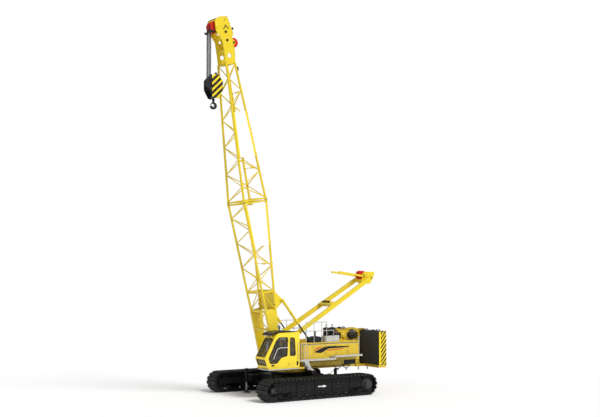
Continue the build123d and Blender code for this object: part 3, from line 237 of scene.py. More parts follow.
def waves(tree, place, axis, scale, distortion=0.0):
    """Soft stripes across an axis."""
    inputs = {"Vector": place, "Scale": scale, "Distortion": distortion}
    return wired(tree, "ShaderNodeTexWave", inputs, bands_direction=axis).outputs["Fac"]


def relief(tree, height, strength, distance, edge=0.0):
    """A bump by a height, over edges that are eased by a radius where one is given."""
    inputs = {"Height": height, "Strength": strength, "Distance": distance}
    if edge:
        inputs["Normal"] = wired(tree, "ShaderNodeBevel", {"Radius": edge}, samples=4).outputs["Normal"]
    return wired(tree, "ShaderNodeBump", inputs).outputs["Normal"]


def slanted(tree, vector, lean, period, share, shift=0.0):
    """1 on stripes that rise towards the rear: lean is their rise for each metre run."""
    x, _, z = axes_of(tree, vector)
    height = calc(tree, "ADD", calc(tree, "MULTIPLY_ADD", x, lean, z), shift)
    return calc(tree, "LESS_THAN", calc(tree, "FRACT", calc(tree, "DIVIDE", height, period)), share)


def hazard_zone(tree, vector):
    """1 on the slanted black stripes of the counterweight's sides, behind a plain strip."""
    x = axes_of(tree, vector)[0]
    behind = calc(tree, "LESS_THAN", x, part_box("counterweight_slabs")[1].x - 0.14)
    return times(tree, slanted(tree, vector, 1.2, 0.27, 0.5), behind)


def walkway_zone(tree, vector):
    """1 on the walkways and steps outside the hoods."""
    _, y, z = axes_of(tree, vector)
    outside = calc(tree, "GREATER_THAN", calc(tree, "ABSOLUTE", y), HOOD_FACE + 0.005)
    return times(tree, outside, calc(tree, "LESS_THAN", z, 2.3))


def block_bands(tree, vector):
    """1 on the yellow bands of the hook block's side plates, outside and behind a plain front edge."""
    x, y, _ = axes_of(tree, vector)
    behind = calc(tree, "LESS_THAN", x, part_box("hook_block")[1].x - 0.2)
    facing = axes_of(tree, wired(tree, "ShaderNodeNewGeometry").outputs["True Normal"])[1]
    outside = calc(tree, "GREATER_THAN", times(tree, facing, calc(tree, "SIGN", y)), 0.9)
    return times(tree, slanted(tree, vector, 0.96, 0.36, 0.45, 0.161), outside, behind)


def board_edge(tree, vector):
    """1 on the rim of the boards along the boom, where the chords' paint carries on."""
    x, _, z = axes_of(tree, vector)
    run = calc(tree, "SUBTRACT", x, BOOM_PIN[0])
    rise = calc(tree, "SUBTRACT", z, BOOM_PIN[2])
    along = calc(tree, "ADD", times(tree, run, cos(BOOM_SLOPE)), times(tree, rise, sin(BOOM_SLOPE)))
    ahead = calc(tree, "SUBTRACT", times(tree, run, sin(BOOM_SLOPE)), times(tree, rise, cos(BOOM_SLOPE)))
    depths = []
    for start, end in zip(BOOM_STATIONS[1:], BOOM_STATIONS[2:]):
        depths.append(wired(tree, "ShaderNodeMapRange", {
            "Value": along, "From Min": start[0], "From Max": end[0],
            "To Min": half_size(start[0])[1], "To Max": half_size(end[0])[1],
        }).outputs[0])
    inner = calc(tree, "SUBTRACT", calc(tree, "MINIMUM", *depths), 0.11)
    return calc(tree, "GREATER_THAN", calc(tree, "ABSOLUTE", ahead), inner)


DUST = (0.42, 0.38, 0.31)


def paint(name, colour, rough=0.36, coat=0.2, grime=0.25, edge=0.012, shine=0.4, patch=None):
    """Sprayed gloss paint: slight shade drift, dust on what faces up, orange peel and eased edges.
    A patch is the function that says where a second colour lies, and that colour."""
    tree, surface, place = shader(name)
    drift = ramp(tree, noise(tree, place, 1.1, 5.0), [(0.35, 0.0), (0.7, 1.0)])
    shade = mixed(tree, drift, darker(colour, 0.93), colour)
    if patch:
        where, second = patch
        shade = mixed(tree, where(tree, place), shade, second)
    specks = noise(tree, place, 9.0, 8.0, 0.7)
    facing_up = axes_of(tree, wired(tree, "ShaderNodeNewGeometry").outputs["Normal"])[2]
    dust = times(tree, ramp(tree, facing_up, [(0.45, 0.0), (1.0, grime)]), specks)
    feed(surface, {
        "Base Color": mixed(tree, dust, shade, DUST),
        "Roughness": ramp(tree, specks, [(0.3, max(rough - 0.06, 0.05)), (0.75, rough + 0.1)]),
        "Normal": relief(tree, noise(tree, place, 90.0, 2.0), 0.03, 0.01, edge),
        "Specular IOR Level": shine,
        "Coat Weight": coat,
        "Coat Roughness": 0.12,
    })


def metal(name, colour, rough=0.3, metallic=1.0, scratch=0.12):
    """Bare or blackened metal with fine turned scratches."""
    tree, surface, place = shader(name)
    streaks = noise(tree, place, 24.0, 8.0, 0.75)
    worn = ramp(tree, streaks, [(0.3, 0.0), (0.75, 1.0)])
    feed(surface, {
        "Base Color": mixed(tree, worn, darker(colour, 0.72), colour),
        "Roughness": ramp(tree, streaks, [(0.3, rough), (0.8, min(rough + 0.22, 1.0))]),
        "Normal": relief(tree, streaks, scratch, 0.004, 0.008),
        "Metallic": metallic,
    })


def tinted_glass(name, colour, alpha):
    """A tinted pane that lets part of what is behind it show."""
    tree, surface, place = shader(name)
    film = noise(tree, place, 2.2, 3.0)
    feed(surface, {
        "Base Color": mixed(tree, film, darker(colour, 0.8), colour),
        "Roughness": ramp(tree, film, [(0.3, 0.03), (0.8, 0.07)]),
        "Alpha": alpha,
        "IOR": 1.5,
        "Specular IOR Level": 0.8,
    })


def woven(name, colour):
    """Woven seat cloth."""
    tree, surface, place = shader(name)
    cloth = times(tree, *[waves(tree, place, axis, 60.0, 0.4) for axis in "ZY"])
    feed(surface, {
        "Base Color": mixed(tree, cloth, darker(colour, 0.5), colour),
        "Roughness": 0.9,
        "Normal": relief(tree, cloth, 0.5, 0.003),
    })


def rubber(name, colour):
    """Matt moulded rubber with a fine grain."""
    tree, surface, place = shader(name)
    grain = noise(tree, place, 160.0, 3.0)
    feed(surface, {
        "Base Color": mixed(tree, grain, darker(colour, 0.6), colour),
        "Roughness": 0.75,
        "Normal": relief(tree, grain, 0.2, 0.001),
    })


def tread_plate(name, colour):
    """Walkway plate with raised lozenges in two crossing rows."""
    tree, surface, place = shader(name)
    x, y, _ = axes_of(tree, place)
    cell = 0.035
    rows = []
    for sign in (1.0, -1.0):
        along = calc(tree, "DIVIDE", calc(tree, "MULTIPLY_ADD", y, sign, x), cell)
        across = calc(tree, "DIVIDE", calc(tree, "MULTIPLY_ADD", y, -sign, x), cell / 2)
        shape = times(tree, calc(tree, "SINE", along), calc(tree, "SINE", across))
        rows.append(calc(tree, "MAXIMUM", shape, 0.0))
    raised = calc(tree, "MAXIMUM", *rows)
    feed(surface, {
        "Base Color": mixed(tree, raised, darker(colour, 0.75), colour),
        "Roughness": 0.42,
        "Metallic": 0.5,
        "Normal": relief(tree, raised, 0.7, 0.004),
    })


def lens(name, colour):
    """A lamp's pressed glass over its reflector."""
    tree, surface, place = shader(name)
    ribs = waves(tree, place, "Y", 22.0)
    feed(surface, {
        "Base Color": mixed(tree, ribs, darker(colour, 0.7), colour),
        "Roughness": 0.12,
        "Metallic": 0.4,
        "Normal": relief(tree, ribs, 0.3, 0.002),
    })


def grey(level):
    return (level, level, level)


def finishes(colours):
    """Every finish by its slot name in the record, and those of the fittings, made once."""
    house_with_shade, boom, rail = tuple(colours.house_with_shade), tuple(colours.boom), tuple(colours.rail)
    black = grey(0.012)
    paint("chassis_paint", tuple(colours.chassis), rough=0.5, coat=0.02, grime=0.03, shine=0.18)
    metal("track_steel", grey(0.02), rough=0.5, metallic=0.3, scratch=0.3)
    metal("bright_steel", grey(0.32), rough=0.22, scratch=0.05)
    # the body and hood paints take the house yellow, with its painted shade
    paint("body_paint", house_with_shade, grime=0.12)
    paint("hood_paint", house_with_shade, grime=0.12, patch=(walkway_zone, rail))
    paint("cab_paint", tuple(colours.cab), rough=0.28, grime=0.08)
    # the boom paint takes the boom yellow, with its painted shade; the boards' rim, the block's bands and the
    # hazard panels use it too
    paint("boom_paint", boom, grime=0.10, edge=0.006)
    metal("engine_iron", grey(0.05), rough=0.5, metallic=0.4)
    paint("black_paint", black, rough=0.4, coat=0.08, grime=0.05, shine=0.25)
    paint("grey_paint", rail, rough=0.4, coat=0.1, grime=0.1)
    tinted_glass("glass", (0.035, 0.032, 0.026), 0.4)
    woven("seat_fabric", (0.52, 0.58, 0.68))
    paint("slab_paint", tuple(colours.slate), rough=0.45, coat=0.03, grime=0.04, shine=0.3)
    paint("drum_paint", grey(0.03), rough=0.4, grime=0.1)
    paint("sheave_paint", tuple(colours.red), rough=0.4, coat=0.08, grime=0.05, edge=0.004, shine=0.25)
    paint("sign_paint", tuple(colours.board), rough=0.5, coat=0.05, grime=0.05, patch=(board_edge, boom))
    metal("wire_rope", grey(0.13), rough=0.45, metallic=0.5)
    paint("block_paint", black, coat=0.08, grime=0.03, shine=0.25, patch=(block_bands, boom))
    metal("hook_iron", grey(0.022), rough=0.5, metallic=0.4)
    paint("hazard_paint", boom, coat=0.05, grime=0.03, shine=0.25, patch=(hazard_zone, black))
    paint("white_mark", (0.80, 0.80, 0.78), rough=0.5, coat=0.0, grime=0.05)
    paint("red_mark", (0.60, 0.06, 0.015), rough=0.4, coat=0.1, grime=0.05)
    rubber("rubber", black)
    tread_plate("tread_plate", rail)
    lens("lamp_lens", (0.85, 0.86, 0.88))


# Outlines and forms

def half_size(along):
    """Half the width and half the depth over the chords' centre lines, at a distance along the boom."""
    for (low, wide_low, deep_low), (high, wide_high, deep_high) in zip(BOOM_STATIONS, BOOM_STATIONS[1:]):
        if along <= high:
            share = (along - low) / (high - low)
            break
    wide = wide_low + share * (wide_high - wide_low)
    deep = deep_low + share * (deep_high - deep_low)
    return wide / 2 - CHORD_RADIUS, deep / 2 - CHORD_RADIUS


def boom_place(along, across=0.0, ahead=0.0):
    """A place on the boom: its X axis looks ahead, its Y axis left and its Z axis along the boom."""
    forward = Vector((sin(BOOM_SLOPE), 0.0, -cos(BOOM_SLOPE)))
    up = Vector((cos(BOOM_SLOPE), 0.0, sin(BOOM_SLOPE)))
    left = Vector(LEFT)
    origin = Vector(BOOM_PIN) + up * along + left * across + forward * ahead
    return Matrix.Translation(origin) @ Matrix((forward, left, up)).transposed().to_4x4()


def corner_curve(before, here, after, radius, steps):
    """Points round one corner of a line, from its first tangent point to its last."""
    here = Vector(here)
    back, on = Vector(before) - here, Vector(after) - here
    reach = min(radius / tan(back.angle(on) / 2), 0.49 * back.length, 0.49 * on.length)
    start, end = here + back.normalized() * reach, here + on.normalized() * reach
    shares = [step / steps for step in range(steps + 1)]
    return [(1 - s) ** 2 * start + 2 * s * (1 - s) * here + s ** 2 * end for s in shares]


def rounded(points, radius, steps=4):
    """A closed outline with its corners rounded, all by one radius or each by its own."""
    radii = radius if isinstance(radius, (list, tuple)) else [radius] * len(points)
    made = []
    for before, here, after, size in zip(points[-1:] + points[:-1], points, points[1:] + points[:1], radii):
        made += corner_curve(before, here, after, size, steps)
    return made


def bent(points, radius, steps=5):
    """An open line in space with its inner corners rounded."""
    made = [Vector(points[0])]
    for before, here, after in zip(points, points[1:], points[2:]):
        made += corner_curve(before, here, after, radius, steps)
    return made + [Vector(points[-1])]


def panel(u_range, v_range, radius, steps=4):
    """A rectangle with rounded corners."""
    (u0, u1), (v0, v1) = sorted(u_range), sorted(v_range)
    return rounded([(u0, v0), (u1, v0), (u1, v1), (u0, v1)], radius, steps)


def around(middle, half):
    """The range that reaches as far to both sides of a middle."""
    return middle - half, middle + half


def circle(centre, radius, steps=24):
    """A round outline."""
    turns = [2 * pi * step / steps for step in range(steps)]
    return [(centre[0] + radius * cos(turn), centre[1] + radius * sin(turn)) for turn in turns]


def inset(outline, amount):
    """An outline moved inwards, with as many corners."""
    corners = [Vector(point) for point in outline]
    pairs = list(zip(corners, corners[1:] + corners[:1]))
    turn = 1 if sum(a.x * b.y - b.x * a.y for a, b in pairs) > 0 else -1
    normals = []
    for a, b in pairs:
        way = (b - a).normalized()
        normals.append(Vector((-way.y, way.x)) * turn)
    made = []
    for corner, first, second in zip(corners, normals[-1:] + normals[:-1], normals):
        middle = first + second
        made.append(corner + middle * (amount / max(middle.dot(first), 0.3)))
    return made


# the two axes of an outline's plane, and the axis across it
AXIS_ORDER = {"x": (1, 2, 0), "y": (0, 2, 1), "z": (0, 1, 2)}


def lifted(outline, level, axis, place):
    """An outline's corners in space, at a level along an axis."""
    first, second, third = AXIS_ORDER[axis]
    made = []
    for u, v in outline:
        point = Vector()
        point[first], point[second], point[third] = u, v, level
        made.append(place @ point)
    return made


def round_places(centre, radius, count, axis="y", turn=0.0):
    """Points evenly round a centre, in the plane across an axis."""
    first, second = AXIS_ORDER[axis][:2]
    made = []
    for index in range(count):
        angle = turn + 2 * pi * index / count
        point = Vector(centre)
        point[first] += radius * cos(angle)
        point[second] += radius * sin(angle)
        made.append(point)
    return made


class Form:
    """The points and faces of one piece, each face with the number of its finish."""

    def __init__(self):
        self.points, self.faces, self.looks = [], [], []

    def add(self, points, faces, look):
        start = len(self.points)
        self.points += points
        self.faces += [[start + corner for corner in face] for face in faces]
        self.looks += [look] * len(faces)

    def mirror(self):
        """Adds all that is there again on the machine's other side."""
        start = len(self.points)
        self.points += [Vector((x, -y, z)) for x, y, z in self.points]
        self.faces += [[start + corner for corner in face] for face in self.faces]
        self.looks += self.looks

    def flip(self, side):
        """Takes what was built on the left to the side it is for."""
        self.points = [Vector((x, side * y, z)) for x, y, z in self.points]

    def rows(self, rings, look, ends=True, closed=False):
        """Joins rings of as many points by quads, with flat ends unless it closes on itself."""
        count = len(rings[0])
        last = count * (len(rings) - 1)
        faces = [list(range(count)), [last + corner for corner in range(count)]] if ends else []
        for row in range(len(rings) if closed else len(rings) - 1):
            low, high = row * count, (row + 1) % len(rings) * count
            for corner in range(count):
                after = (corner + 1) % count
                faces.append([low + corner, low + after, high + after, high + corner])
        self.add([point for ring in rings for point in ring], faces, look)

    def slab(self, outline, low, high, axis="y", ease=0.0, look=0, place=UPRIGHT):
        """A plate cut to an outline between two levels, its rims eased."""
        low, high = min(low, high), max(low, high)
        levels = [(outline, low), (outline, high)]
        if ease:
            small = inset(outline, ease)
            levels = [(small, low), (outline, low + ease), (outline, high - ease), (small, high)]
        self.rows([lifted(ring, level, axis, place) for ring, level in levels], look)

    def box(self, x_range, y_range, z_range, ease=0.008, look=0, place=UPRIGHT):
        """A block with all its edges eased."""
        self.slab(panel(x_range, z_range, ease, 1), *y_range, "y", ease, look, place)

    def collar(self, outer, inner, low, high, axis="y", look=0, place=UPRIGHT):
        """A frame between two outlines with as many corners."""
        rings = [(outer, low), (outer, high), (inner, high), (inner, low)]
        self.rows([lifted(ring, level, axis, place) for ring, level in rings], look, ends=False, closed=True)

    def seal(self, outline, out, low, high, axis="y", place=UPRIGHT):
        """A rubber frame round a window, from outside its outline to a little inside."""
        self.collar(inset(outline, -out), inset(outline, 0.012), low, high, axis, 0, place)

    def turned(self, profile, origin, axis, steps=24, look=0):
        """A turned form: the profile gives distance along the axis and radius."""
        way = Vector(axis).normalized()
        side = way.orthogonal().normalized()
        up = way.cross(side)
        turns = [2 * pi * step / steps for step in range(steps)]
        rings = []
        for along, radius in profile:
            centre = Vector(origin) + way * along
            rings.append([centre + (side * cos(turn) + up * sin(turn)) * radius for turn in turns])
        self.rows(rings, look)

    def pipe(self, path, radius, steps=8, look=0, closed=False):
        """A round bar along a line of points."""
        path = [Vector(point) for point in path]
        side = None
        rings = []
        for index, here in enumerate(path):
            before = path[index - 1] if index or closed else here
            after = path[(index + 1) % len(path)] if closed or index < len(path) - 1 else here
            way = (after - before).normalized()
            side = way.orthogonal() if side is None else side - way * side.dot(way)
            side.normalize()
            up = way.cross(side)
            turns = [2 * pi * step / steps for step in range(steps)]
            rings.append([here + (side * cos(turn) + up * sin(turn)) * radius for turn in turns])
        self.rows(rings, look, ends=not closed, closed=closed)

    def bolts(self, places, axis, size, look=0):
        """Hexagon bolt heads on washers, standing on points."""
        head = [(0.2 * size, 0.75 * size), (0.75 * size, 0.75 * size), (0.9 * size, 0.5 * size)]
        for place in places:
            self.turned([(0.0, size), (0.2 * size, size)], place, axis, 10, look)
            self.turned(head, place, axis, 6, look)


def linked(name, data):
    """A new object of some data, in the scene."""
    made = bpy.data.objects.new(name, data)
    bpy.context.scene.collection.objects.link(made)
    return made


def piece(name, form, looks, body, slot, *stands_for):
    """Makes one object of a form, gives it its finishes and lets it ride on a body."""
    mesh = bpy.data.meshes.new(name)
    mesh.from_pydata(form.points, [], form.faces)
    mesh.polygons.foreach_set("material_index", form.looks)
    shaped = bmesh.new()
    shaped.from_mesh(mesh)
    bmesh.ops.recalc_face_normals(shaped, faces=shaped.faces)
    shaped.to_mesh(mesh)
    shaped.free()
    for look in looks:
        mesh.materials.append(bpy.data.materials[look])
    mesh.shade_smooth()
    mesh.set_sharp_from_angle(angle=radians(38))
    made = linked(name, mesh)
    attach(made, body)
    if stands_for:
        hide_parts(*stands_for)
    return made


# Stage

def photo_camera(view):
    """The camera, where the photograph was taken from."""
    camera = bpy.data.cameras.new("photo_camera")
    camera.lens = view.lens
    camera.clip_end = 500.0
    eye = linked("photo_camera", camera)
    eye.location = view.place
    level = cos(view.tilt)
    look = Vector((level * cos(view.heading), level * sin(view.heading), sin(view.tilt)))
    eye.rotation_mode = "QUATERNION"
    eye.rotation_quaternion = look.to_track_quat("-Z", "Y")
    bpy.context.scene.camera = eye


def white_studio(view):
    """White surroundings that light the crane less than they show behind it."""
    world = bpy.data.worlds.new("white_studio")
    bpy.context.scene.world = world
    world.use_nodes = True
    tree = world.node_tree
    tree.nodes.clear()
    white = (1.0, 1.0, 1.0, 1.0)
    path = wired(tree, "ShaderNodeLightPath").outputs
    seen = calc(tree, "MAXIMUM", path["Is Camera Ray"], path["Is Transmission Ray"])
    levels = {0: path["Is Glossy Ray"], 2: view.fill, 3: view.mirrored}
    strength = wired(tree, "ShaderNodeMix", levels).outputs[0]
    fill = wired(tree, "ShaderNodeBackground", {"Color": white, "Strength": strength})
    backdrop = wired(tree, "ShaderNodeBackground", {"Color": white, "Strength": 1.0})
    both = wired(tree, "ShaderNodeMixShader", {0: seen, 1: fill.outputs[0], 2: backdrop.outputs[0]})
    wired(tree, "ShaderNodeOutputWorld", {"Surface": both.outputs[0]})


def soft_sun(view):
    """A wide sun from the left, high up."""
    lamp = bpy.data.lights.new("soft_sun", "SUN")
    lamp.energy = view.key
    lamp.angle = radians(24)
    sun = linked("soft_sun", lamp)
    sun.rotation_mode = "QUATERNION"
    sun.rotation_quaternion = Vector((0.28, -0.85, -0.95)).to_track_quat("-Z", "Y")


def pale_floor():
    """A pale floor that fades into the white surroundings away from the crane."""
    tree, surface, place = shader("pale_floor")
    feed(surface, {"Base Color": (0.93, 0.93, 0.93, 1.0), "Roughness": 0.9, "Specular IOR Level": 0.1})
    reach = wired(tree, "ShaderNodeVectorMath", {0: place}, operation="LENGTH").outputs["Value"]
    far = wired(tree, "ShaderNodeMapRange", {"Value": reach, "From Min": 9.0, "From Max": 24.0}).outputs[0]
    share = times(tree, far, wired(tree, "ShaderNodeLightPath").outputs["Is Camera Ray"])
    glow = wired(tree, "ShaderNodeEmission", {"Color": (1.0, 1.0, 1.0, 1.0), "Strength": 1.0})
    blend = wired(tree, "ShaderNodeMixShader", {0: share, 1: surface.outputs[0], 2: glow.outputs[0]})
    feed(tree.nodes["Material Output"], {"Surface": blend.outputs[0]})
    half = 260.0
    corners = [(-half, -half, 0), (half, -half, 0), (half, half, 0), (-half, half, 0)]
    mesh = bpy.data.meshes.new("floor")
    mesh.from_pydata(corners, [], [(0, 1, 2, 3)])
    mesh.materials.append(bpy.data.materials["pale_floor"])
    linked("floor", mesh)


class CRANE_OT_stage(bpy.types.Operator):
    """Floor, soft lights and the camera"""

    bl_idname = "crane.stage"
    bl_label = "Floor, lights and camera"

    def execute(self, context):
        view = context.scene.crane_view
        photo_camera(view)
        white_studio(view)
        soft_sun(view)
        pale_floor()
        context.scene.view_settings.view_transform = "Standard"
        return {"FINISHED"}


class CRANE_OT_finishes(bpy.types.Operator):
    """Paint and metal on every part of the frame"""

    bl_idname = "crane.finishes"
    bl_label = "Finishes"

    def execute(self, context):
        finishes(context.scene.crane_paints)
        for part in frame["record"]["subparts"]:
            node = frame["nodes"][part["node"]]
            look = "hood_paint" if part["node"].startswith("side_hood") else part["material_slot"]
            node.data.materials.clear()
            node.data.materials.append(bpy.data.materials[look])
        return {"FINISHED"}


# Tracks

FRAME_HALF = 0.265
WEB = 0.018
ROLLERS = 9
ROLLER_PITCH = 0.54
ROLLER_Z = 0.31
SHOE_SETTLE = 0.008


def track_lines():
    """The left track's middle Y, and X and Z of its front axle."""
    low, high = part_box("track_shoes_left")
    axle_z = (high.z - low.z) / 2
    return (low.y + high.y) / 2, high.x - axle_z, axle_z


def shoe_place(travel, axle_x, axle_z, radius):
    """Where a shoe lies on the loop: X along its travel, Z outwards. Round the ends it settles a little."""
    straight, bend = 2 * axle_x, pi * radius
    half, along = divmod(travel % (2 * (straight + bend)), straight + bend)
    if along < straight:
        place = Matrix.Translation((axle_x - along, 0, radius))
    else:
        turn = (along - straight) / radius
        settled = radius - SHOE_SETTLE * min(1.0, sin(turn) * 30)
        wheel = Matrix.Translation((-axle_x, 0, 0)) @ Matrix.Rotation(-turn, 4, "Y")
        place = wheel @ Matrix.Translation((0, 0, settled))
    return Matrix.Translation((0, 0, axle_z)) @ Matrix.Rotation(pi * half, 4, "Y") @ place


def shoe(form, place, pitch, lug):
    """One shoe: a plate with two ribs, shorter along the track at both its ends."""
    half = [(0.15, 0.012), (0.21, lug), (0.33, lug), (0.37, 0.0), (0.45, 0.0), (0.475, -0.040)]
    section = [(-u, v) for u, v in reversed(half)] + half
    rings = []
    for across, share in ((-0.49, 0.70), (-0.40, 1.0), (0.40, 1.0), (0.49, 0.70)):
        rings.append(lifted([(u * share * pitch, v) for u, v in section], across, "y", place))
    form.rows(rings, 0)


def chain_link(form, place, pitch, stagger):
    """A shoe's two link plates and its bolts, and the pin to the next shoe."""
    plate = panel(around(0, 0.54 * pitch), (-0.112, -0.040), 0.034, 3)
    up = place.to_3x3() @ Vector(UP)
    for rail in (-0.15, 0.15):
        form.slab(plate, *around(rail + stagger, 0.022), "y", 0.005, 1, place)
        for across in (-0.05, 0.05):
            form.turned([(0, 0.015), (0.01, 0.013)], place @ Vector((0, rail + across, 0.012)), up, 6, 1)
    form.turned([(0, 0.022), (0.37, 0.022)], place @ Vector((pitch / 2, -0.185, -0.078)), LEFT, 8, 1)


class CRANE_OT_track_shoes(bpy.types.Operator):
    """Steel shoes on chain links round both tracks, in place of the plain loops"""

    bl_idname = "crane.track_shoes"
    bl_label = "Track shoes"

    def execute(self, context):
        sizes = context.scene.crane_sizes
        centre_y, axle_x, axle_z = track_lines()
        radius = axle_z - sizes.lug
        pitch = 2 * (2 * axle_x + pi * radius) / sizes.shoes
        for name, side in SIDES:
            form = Form()
            across = Matrix.Translation((0, side * centre_y, 0))
            for index in range(sizes.shoes):
                place = shoe_place((index + 0.5) * pitch, axle_x, axle_z, radius) @ across
                shoe(form, place, pitch, sizes.lug)
                chain_link(form, place, pitch, 0.011 if index % 2 else -0.011)
            piece(f"steel_shoes_{name}", form, ["track_steel", "engine_iron"], "undercarriage", "track_steel",
                  f"track_shoes_{name}")
        return {"FINISHED"}


def web_plates(form, face, inner):
    """Guard plates along the top of both webs, and skirts below their ends."""
    guard = [(-2.78, 0.84), (-2.82, 1.05), (-2.6, 1.09), (2.6, 1.09), (3.16, 1.06), (3.1, 0.84)]
    skirt = [(2.0, 0.47), (2.0, 0.21), (2.2, 0.155), (2.72, 0.155), (2.86, 0.24), (2.9, 0.47)]
    for outline in (guard, skirt, [(-x, z) for x, z in skirt]):
        for web in (face, inner + WEB):
            form.slab(rounded(outline, 0.03, 3), web - WEB, web, "y", 0.003)


def web_ribs(form, face):
    """Upright ribs, two rails and bolted covers on the outer web."""
    for x in (-1.98, -0.78, 0.42, 1.62):
        form.box(around(x, 0.018), (face, face + 0.03), (0.27, 1.0), 0.006)
    for z in (0.465, 0.85):
        form.box((-2.5, 2.5), (face, face + 0.016), (z, z + 0.035), 0.005)
    for x in (-1.38, 1.02, 2.06):
        form.slab(panel(around(x, 0.24), (0.55, 0.80), 0.05), face, face + 0.012, "y", 0.004)
        corners = [(x + u, face + 0.012, 0.675 + v) for u in (-0.2, 0.2) for v in (-0.09, 0.09)]
        form.bolts(corners, LEFT, 0.016, 1)


def roller_caps(form, face):
    """Bolted caps on the bottom rollers' axles, and a guard between each two rollers."""
    between = rounded([(-0.07, 0.245), (0.07, 0.245), (0.045, 0.15), (-0.045, 0.15)], 0.02, 2)
    for roller in range(ROLLERS):
        x = (roller - (ROLLERS - 1) / 2) * ROLLER_PITCH
        form.turned([(0, 0.072), (0.014, 0.072), (0.02, 0.055), (0.03, 0.05)], (x, face, ROLLER_Z), LEFT, 20)
        form.bolts(round_places((x, face + 0.014, ROLLER_Z), 0.062, 4, turn=pi / 4), LEFT, 0.008)
        if roller:
            guard = [(x - ROLLER_PITCH / 2 + u, z) for u, z in between]
            form.slab(guard, face - 0.02, face, "y", 0.004)


def take_up(form, face, axle_x, axle_z):
    """The front axle's plate with its slot and cap."""
    plate = face + 0.014
    form.slab(panel((2.38, 3.1), (0.50, 0.72), 0.06), face, plate, "y", 0.004)
    slot = panel((2.5, 2.98), (0.57, 0.65), 0.035)
    form.collar(inset(slot, -0.03), slot, plate, face + 0.03)
    form.bolts([(x, plate, z) for x in (2.45, 2.74, 3.03) for z in (0.53, 0.69)], LEFT, 0.014, 1)
    cap = [(0, 0.12), (0.03, 0.12), (0.045, 0.10), (0.05, 0.05)]
    form.turned(cap, (axle_x, face + 0.03, axle_z), LEFT, 28, 2)
    form.bolts(round_places((axle_x, face + 0.06, axle_z), 0.085, 6), LEFT, 0.012, 1)


def final_drive(form, face, inner, x, z):
    """The drive's flange, drum and cover outside the frame, and its motor with hoses inside."""
    hub = (x, face, z)
    form.turned([(0, 0.335), (0.022, 0.335), (0.03, 0.32)], hub, LEFT, 40, 2)
    form.bolts(round_places((x, face + 0.025, z), 0.29, 18), LEFT, 0.015, 1)
    form.turned([(0.02, 0.248), (0.125, 0.248), (0.14, 0.235)], hub, LEFT, 40, 2)
    cover_y = face + 0.15
    cover = [(-0.01, 0.225), (0.008, 0.225), (0.012, 0.16), (0.03, 0.15), (0.036, 0.06)]
    form.turned(cover, (x, cover_y, z), LEFT, 36, 2)
    form.bolts(round_places((x, cover_y + 0.008, z), 0.19, 12), LEFT, 0.015, 1)
    motor = [(0, 0.2), (0.05, 0.2), (0.06, 0.15), (0.2, 0.15), (0.22, 0.12), (0.3, 0.12), (0.31, 0.08)]
    form.turned(motor, (x, inner, z), RIGHT, 28, 2)
    form.bolts(round_places((x, inner - 0.05, z), 0.175, 10), RIGHT, 0.013, 1)
    for hose_z in (0.64, 0.56):
        run = [(x + 0.05, inner - 0.24, hose_z + 0.08), (x + 0.3, inner - 0.3, hose_z + 0.2)]
        run += [(-2.2, inner - 0.16, hose_z + 0.16), (-1.5, inner - 0.1, hose_z + 0.16)]
        form.pipe(bent(run, 0.2), 0.018, 8, 3)


def plain_arrow(form, face):
    """A plain arrow towards the rear, on the frame's box."""
    half = [(0.23, 0), (0.17, 0.03), (-0.14, 0.03), (-0.14, 0.08), (-0.39, 0)]
    arrow = half + [(x, -z) for x, z in reversed(half[1:-1])]
    form.slab([(x, 0.675 + z) for x, z in arrow], face, face + 0.004, "y", 0.0, 4)


class CRANE_OT_side_frames(bpy.types.Operator):
    """Covers, caps, bolts and plain arrows on the track frames"""

    bl_idname = "crane.side_frames"
    bl_label = "Track frame fittings"

    def execute(self, context):
        centre_y, axle_x, axle_z = track_lines()
        face, inner = centre_y + FRAME_HALF, centre_y - FRAME_HALF
        for name, side in SIDES:
            form = Form()
            web_plates(form, face, inner)
            web_ribs(form, face)
            roller_caps(form, face)
            take_up(form, face, axle_x, axle_z)
            final_drive(form, face, inner, -axle_x, axle_z)
            plain_arrow(form, face)
            form.flip(side)
            looks = ["chassis_paint", "bright_steel", "engine_iron", "rubber", "white_mark"]
            piece(f"frame_fittings_{name}", form, looks, "undercarriage", "chassis_paint")
        return {"FINISHED"}


# Carbody and jacks

BODY_TOP = 1.15
BEAM_X = 1.12
BEAM_END = 2.3
JACK_X, JACK_Y = 2.17, 1.44
RING_BOLTS = 1.087
RING_SEAL = 1.056
VALVE_FACE = 1.9


def slew_ring_bolts(form):
    """The bolt circle and the seal of the slew ring."""
    form.bolts(round_places((0, 0, BODY_TOP + 0.08), RING_BOLTS, 60, "z"), UP, 0.016, 1)
    form.pipe(round_places((0, 0, BODY_TOP + 0.115), RING_SEAL, 72, "z"), 0.014, 6, 3, closed=True)


def body_corner(form, end):
    """A hatch, a lifting eye and the beam's flange, at the front or the rear of the carbody's left."""
    hatch = (end * 1.27, 1.06, BODY_TOP)
    form.turned([(0, 0.13), (0.012, 0.13), (0.02, 0.115)], hatch, UP, 24)
    form.bolts(round_places((hatch[0], hatch[1], BODY_TOP + 0.015), 0.1, 6, "z"), UP, 0.01, 1)
    eye = rounded([(-0.09, 0.0), (0.09, 0.0), (0.05, 0.13), (-0.05, 0.13)], 0.04)
    form.slab(eye, -0.015, 0.015, "y", 0.004, 0, Matrix.Translation((end * 1.2, 1.22, BODY_TOP)))
    form.box(around(end * BEAM_X, 0.36), (BEAM_END, BEAM_END + 0.03), (0.5, 1.0), 0.006)
    flange = [(end * BEAM_X + u, BEAM_END, z) for u in (-0.34, 0.34) for z in (0.56, 0.75, 0.94)]
    form.bolts(flange, RIGHT, 0.02, 1)


